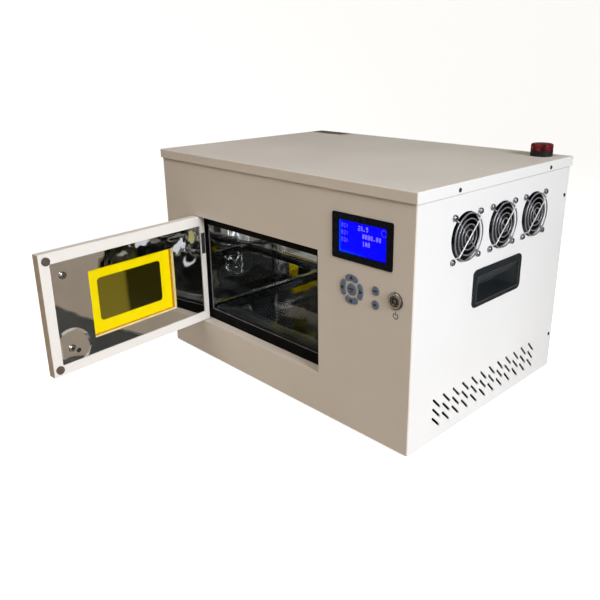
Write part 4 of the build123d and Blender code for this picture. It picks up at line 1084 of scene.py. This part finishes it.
# ---------------------------------------------------------------- stage and light
def make_stage():
    """A floor that sweeps up into a wall behind the box."""
    import math as _m
    prof = [(-6.0, 0.0), (2.2, 0.0)]
    for i in range(1, 13):
        a = _m.radians(90 * i / 12)
        prof.append((2.2 + 1.2 * _m.sin(a), 1.2 - 1.2 * _m.cos(a)))
    prof.append((3.4, 6.0))
    # the sweep runs across the view: forward is away from the camera
    fwd = Vector((-0.7173, 0.6968, 0)).normalized()
    side = Vector((0.6968, 0.7173, 0)).normalized()
    verts, faces = [], []
    for d, h in prof:
        for s in (-9.0, 9.0):
            verts.append(fwd * d + side * s + Vector((0, 0, h)))
    for i in range(len(prof) - 1):
        faces.append([2 * i, 2 * i + 1, 2 * i + 3, 2 * i + 2])
    me = bpy.data.meshes.new("floor")
    me.from_pydata([tuple(v) for v in verts], [], faces)
    for p in me.polygons:
        p.use_smooth = True
    obj = bpy.data.objects.new("floor", me)
    bpy.context.scene.collection.objects.link(obj)
    m = Mat("floor", (0.80, 0.795, 0.78, 1), 0.9)
    m.vary(1.3, 0.006, 2.0)
    # the floor is a light table: its glow shows to the camera more than it lights the box
    path = m.node("ShaderNodeLightPath")
    m.colour(m.mix(path.outputs["Is Camera Ray"], (0.50, 0.435, 0.36, 1), m.last))
    m.link(m.math("MULTIPLY_ADD", path.outputs["Is Camera Ray"], 0.80, 0.04), m.p.inputs["Emission Strength"])
    m.set(emit_colour=(1.0, 1.0, 1.0, 1), spec=0.0)
    me.materials.append(m.m)


make_stage()

def card(name, centre, normal, size, colour, strength, turn=0.0):
    """A studio card that only reflections see."""
    n = Vector(normal).normalized()
    u = Vector((0, 0, 1)).cross(n)
    u = u.normalized() if u.length > 1e-6 else Vector((1, 0, 0))
    u = Matrix.Rotation(turn, 3, n) @ u
    v = n.cross(u)
    c = Vector(centre)
    pts = [c + u * (sx * size[0] / 2) + v * (sy * size[1] / 2) for sx, sy in ((-1, -1), (1, -1), (1, 1), (-1, 1))]
    me = bpy.data.meshes.new(name)
    me.from_pydata([tuple(q) for q in pts], [], [[0, 1, 2, 3]])
    obj = bpy.data.objects.new(name, me)
    bpy.context.scene.collection.objects.link(obj)
    m = Mat(name, (0.010, 0.012, 0.012, 1), 0.6)
    m.noise(2.0)
    m.set(emit=strength, emit_colour=colour)
    me.materials.append(m.m)
    obj.visible_camera = obj.visible_diffuse = obj.visible_shadow = obj.visible_transmission = False


card("dark_mat", (0.425, -0.62, 0.0015), (0, 0, 1), (0.89, 0.905), (0.5, 0.6, 0.6, 1), 0.012)
for i in range(4):
    a = math.radians(51.1 + 0.75 * i)
    card(f"lamp_strip_{i}", (2.5 * math.sin(a), -0.13 - 2.5 * math.cos(a), 0.80), (-math.sin(a), math.cos(a), -0.25),
         (0.0065, 0.62), (0.95, 0.98, 1.0, 1), 11.0)
# and their long reflections on the floor
for i in range(3):
    a, b = Vector((502 - 19 * i, -479 - 19 * i, 2.0)), Vector((341 - 11 * i, -374 - 11 * i, 2.0))
    mid, run = (a + b) / 2, (b - a).length
    card(f"floor_glint_{i}", mid * MM, (0, 0, 1), (0.0024, run * MM), (0.95, 0.98, 1.0, 1), 9.0,
         turn=math.atan2((b - a).y, (b - a).x) - math.pi / 2)


def band(name, radius, z0, z1, a0, a1, colour, strength, n=24):
    """A curved card round the front of the box, for reflections only: the room's wall or its dark ceiling."""
    verts, faces = [], []
    for i in range(n + 1):
        a = math.radians(a0 + (a1 - a0) * i / n)
        for z in (z0, z1):
            verts.append((radius * math.sin(a), -0.15 - radius * math.cos(a), z))
    for i in range(n):
        faces.append([2 * i, 2 * i + 2, 2 * i + 3, 2 * i + 1])
    me = bpy.data.meshes.new(name)
    me.from_pydata(verts, [], faces)
    obj = bpy.data.objects.new(name, me)
    bpy.context.scene.collection.objects.link(obj)
    m = Mat(name, (0.010, 0.010, 0.010, 1), 0.6)
    f = m.remap(m.noise(1.6, 3.0, 0.5, (1, 1, 3)), 0.3, 0.7, 0, 1)
    m.link(m.mix(f, tone(colour, 0.75), tone(colour, 1.0)), m.p.inputs["Emission Color"])
    m.set(emit=strength)
    me.materials.append(m.m)
    obj.visible_camera = obj.visible_diffuse = obj.visible_shadow = obj.visible_transmission = False


band("wall_band", 2.6, 0.55, 1.12, -75, 80, (1.0, 0.90, 0.77, 1), 0.95)
band("wall_high", 2.6, 1.12, 1.50, -75, 15, (1.0, 0.90, 0.77, 1), 0.80)
band("ceiling_band", 2.66, 1.12, 2.3, -75, 80, (0.78, 0.90, 1.0, 1), 0.22)

world = bpy.data.worlds.new("studio")
bpy.context.scene.world = world
world.use_nodes = True
bg = world.node_tree.nodes["Background"]
bg.inputs["Color"].default_value = (1.0, 0.85, 0.68, 1)
bg.inputs["Strength"].default_value = 0.12


def area(name, loc, target, size, power, colour=(1, 1, 1)):
    li = bpy.data.lights.new(name, "AREA")
    li.shape = "RECTANGLE"
    li.size, li.size_y = size
    li.energy = power
    li.color = colour
    o = bpy.data.objects.new(name, li)
    o.location = loc
    o.rotation_euler = (Vector(target) - Vector(loc)).to_track_quat("-Z", "Y").to_euler()
    bpy.context.scene.collection.objects.link(o)
    return o


key = area("key_right", (2.9, -0.50, 1.25), (0.1, -0.27, 0.12), (1.1, 1.1), 10.4, (0.95, 0.965, 1.0))
key.data.spread = math.radians(52)
area("soft_top", (0.1, -1.35, 2.15), (0, -0.1, 0.2), (1.7, 1.7), 22.8, (1.0, 0.92, 0.81))

sc = bpy.context.scene
sc.cycles.max_bounces = 16
sc.cycles.glossy_bounces = 12
sc.cycles.diffuse_bounces = 4
sc.cycles.transparent_max_bounces = 12
bpy.context.scene.view_settings.view_transform = "Standard"
bpy.context.scene.view_settings.look = "None"
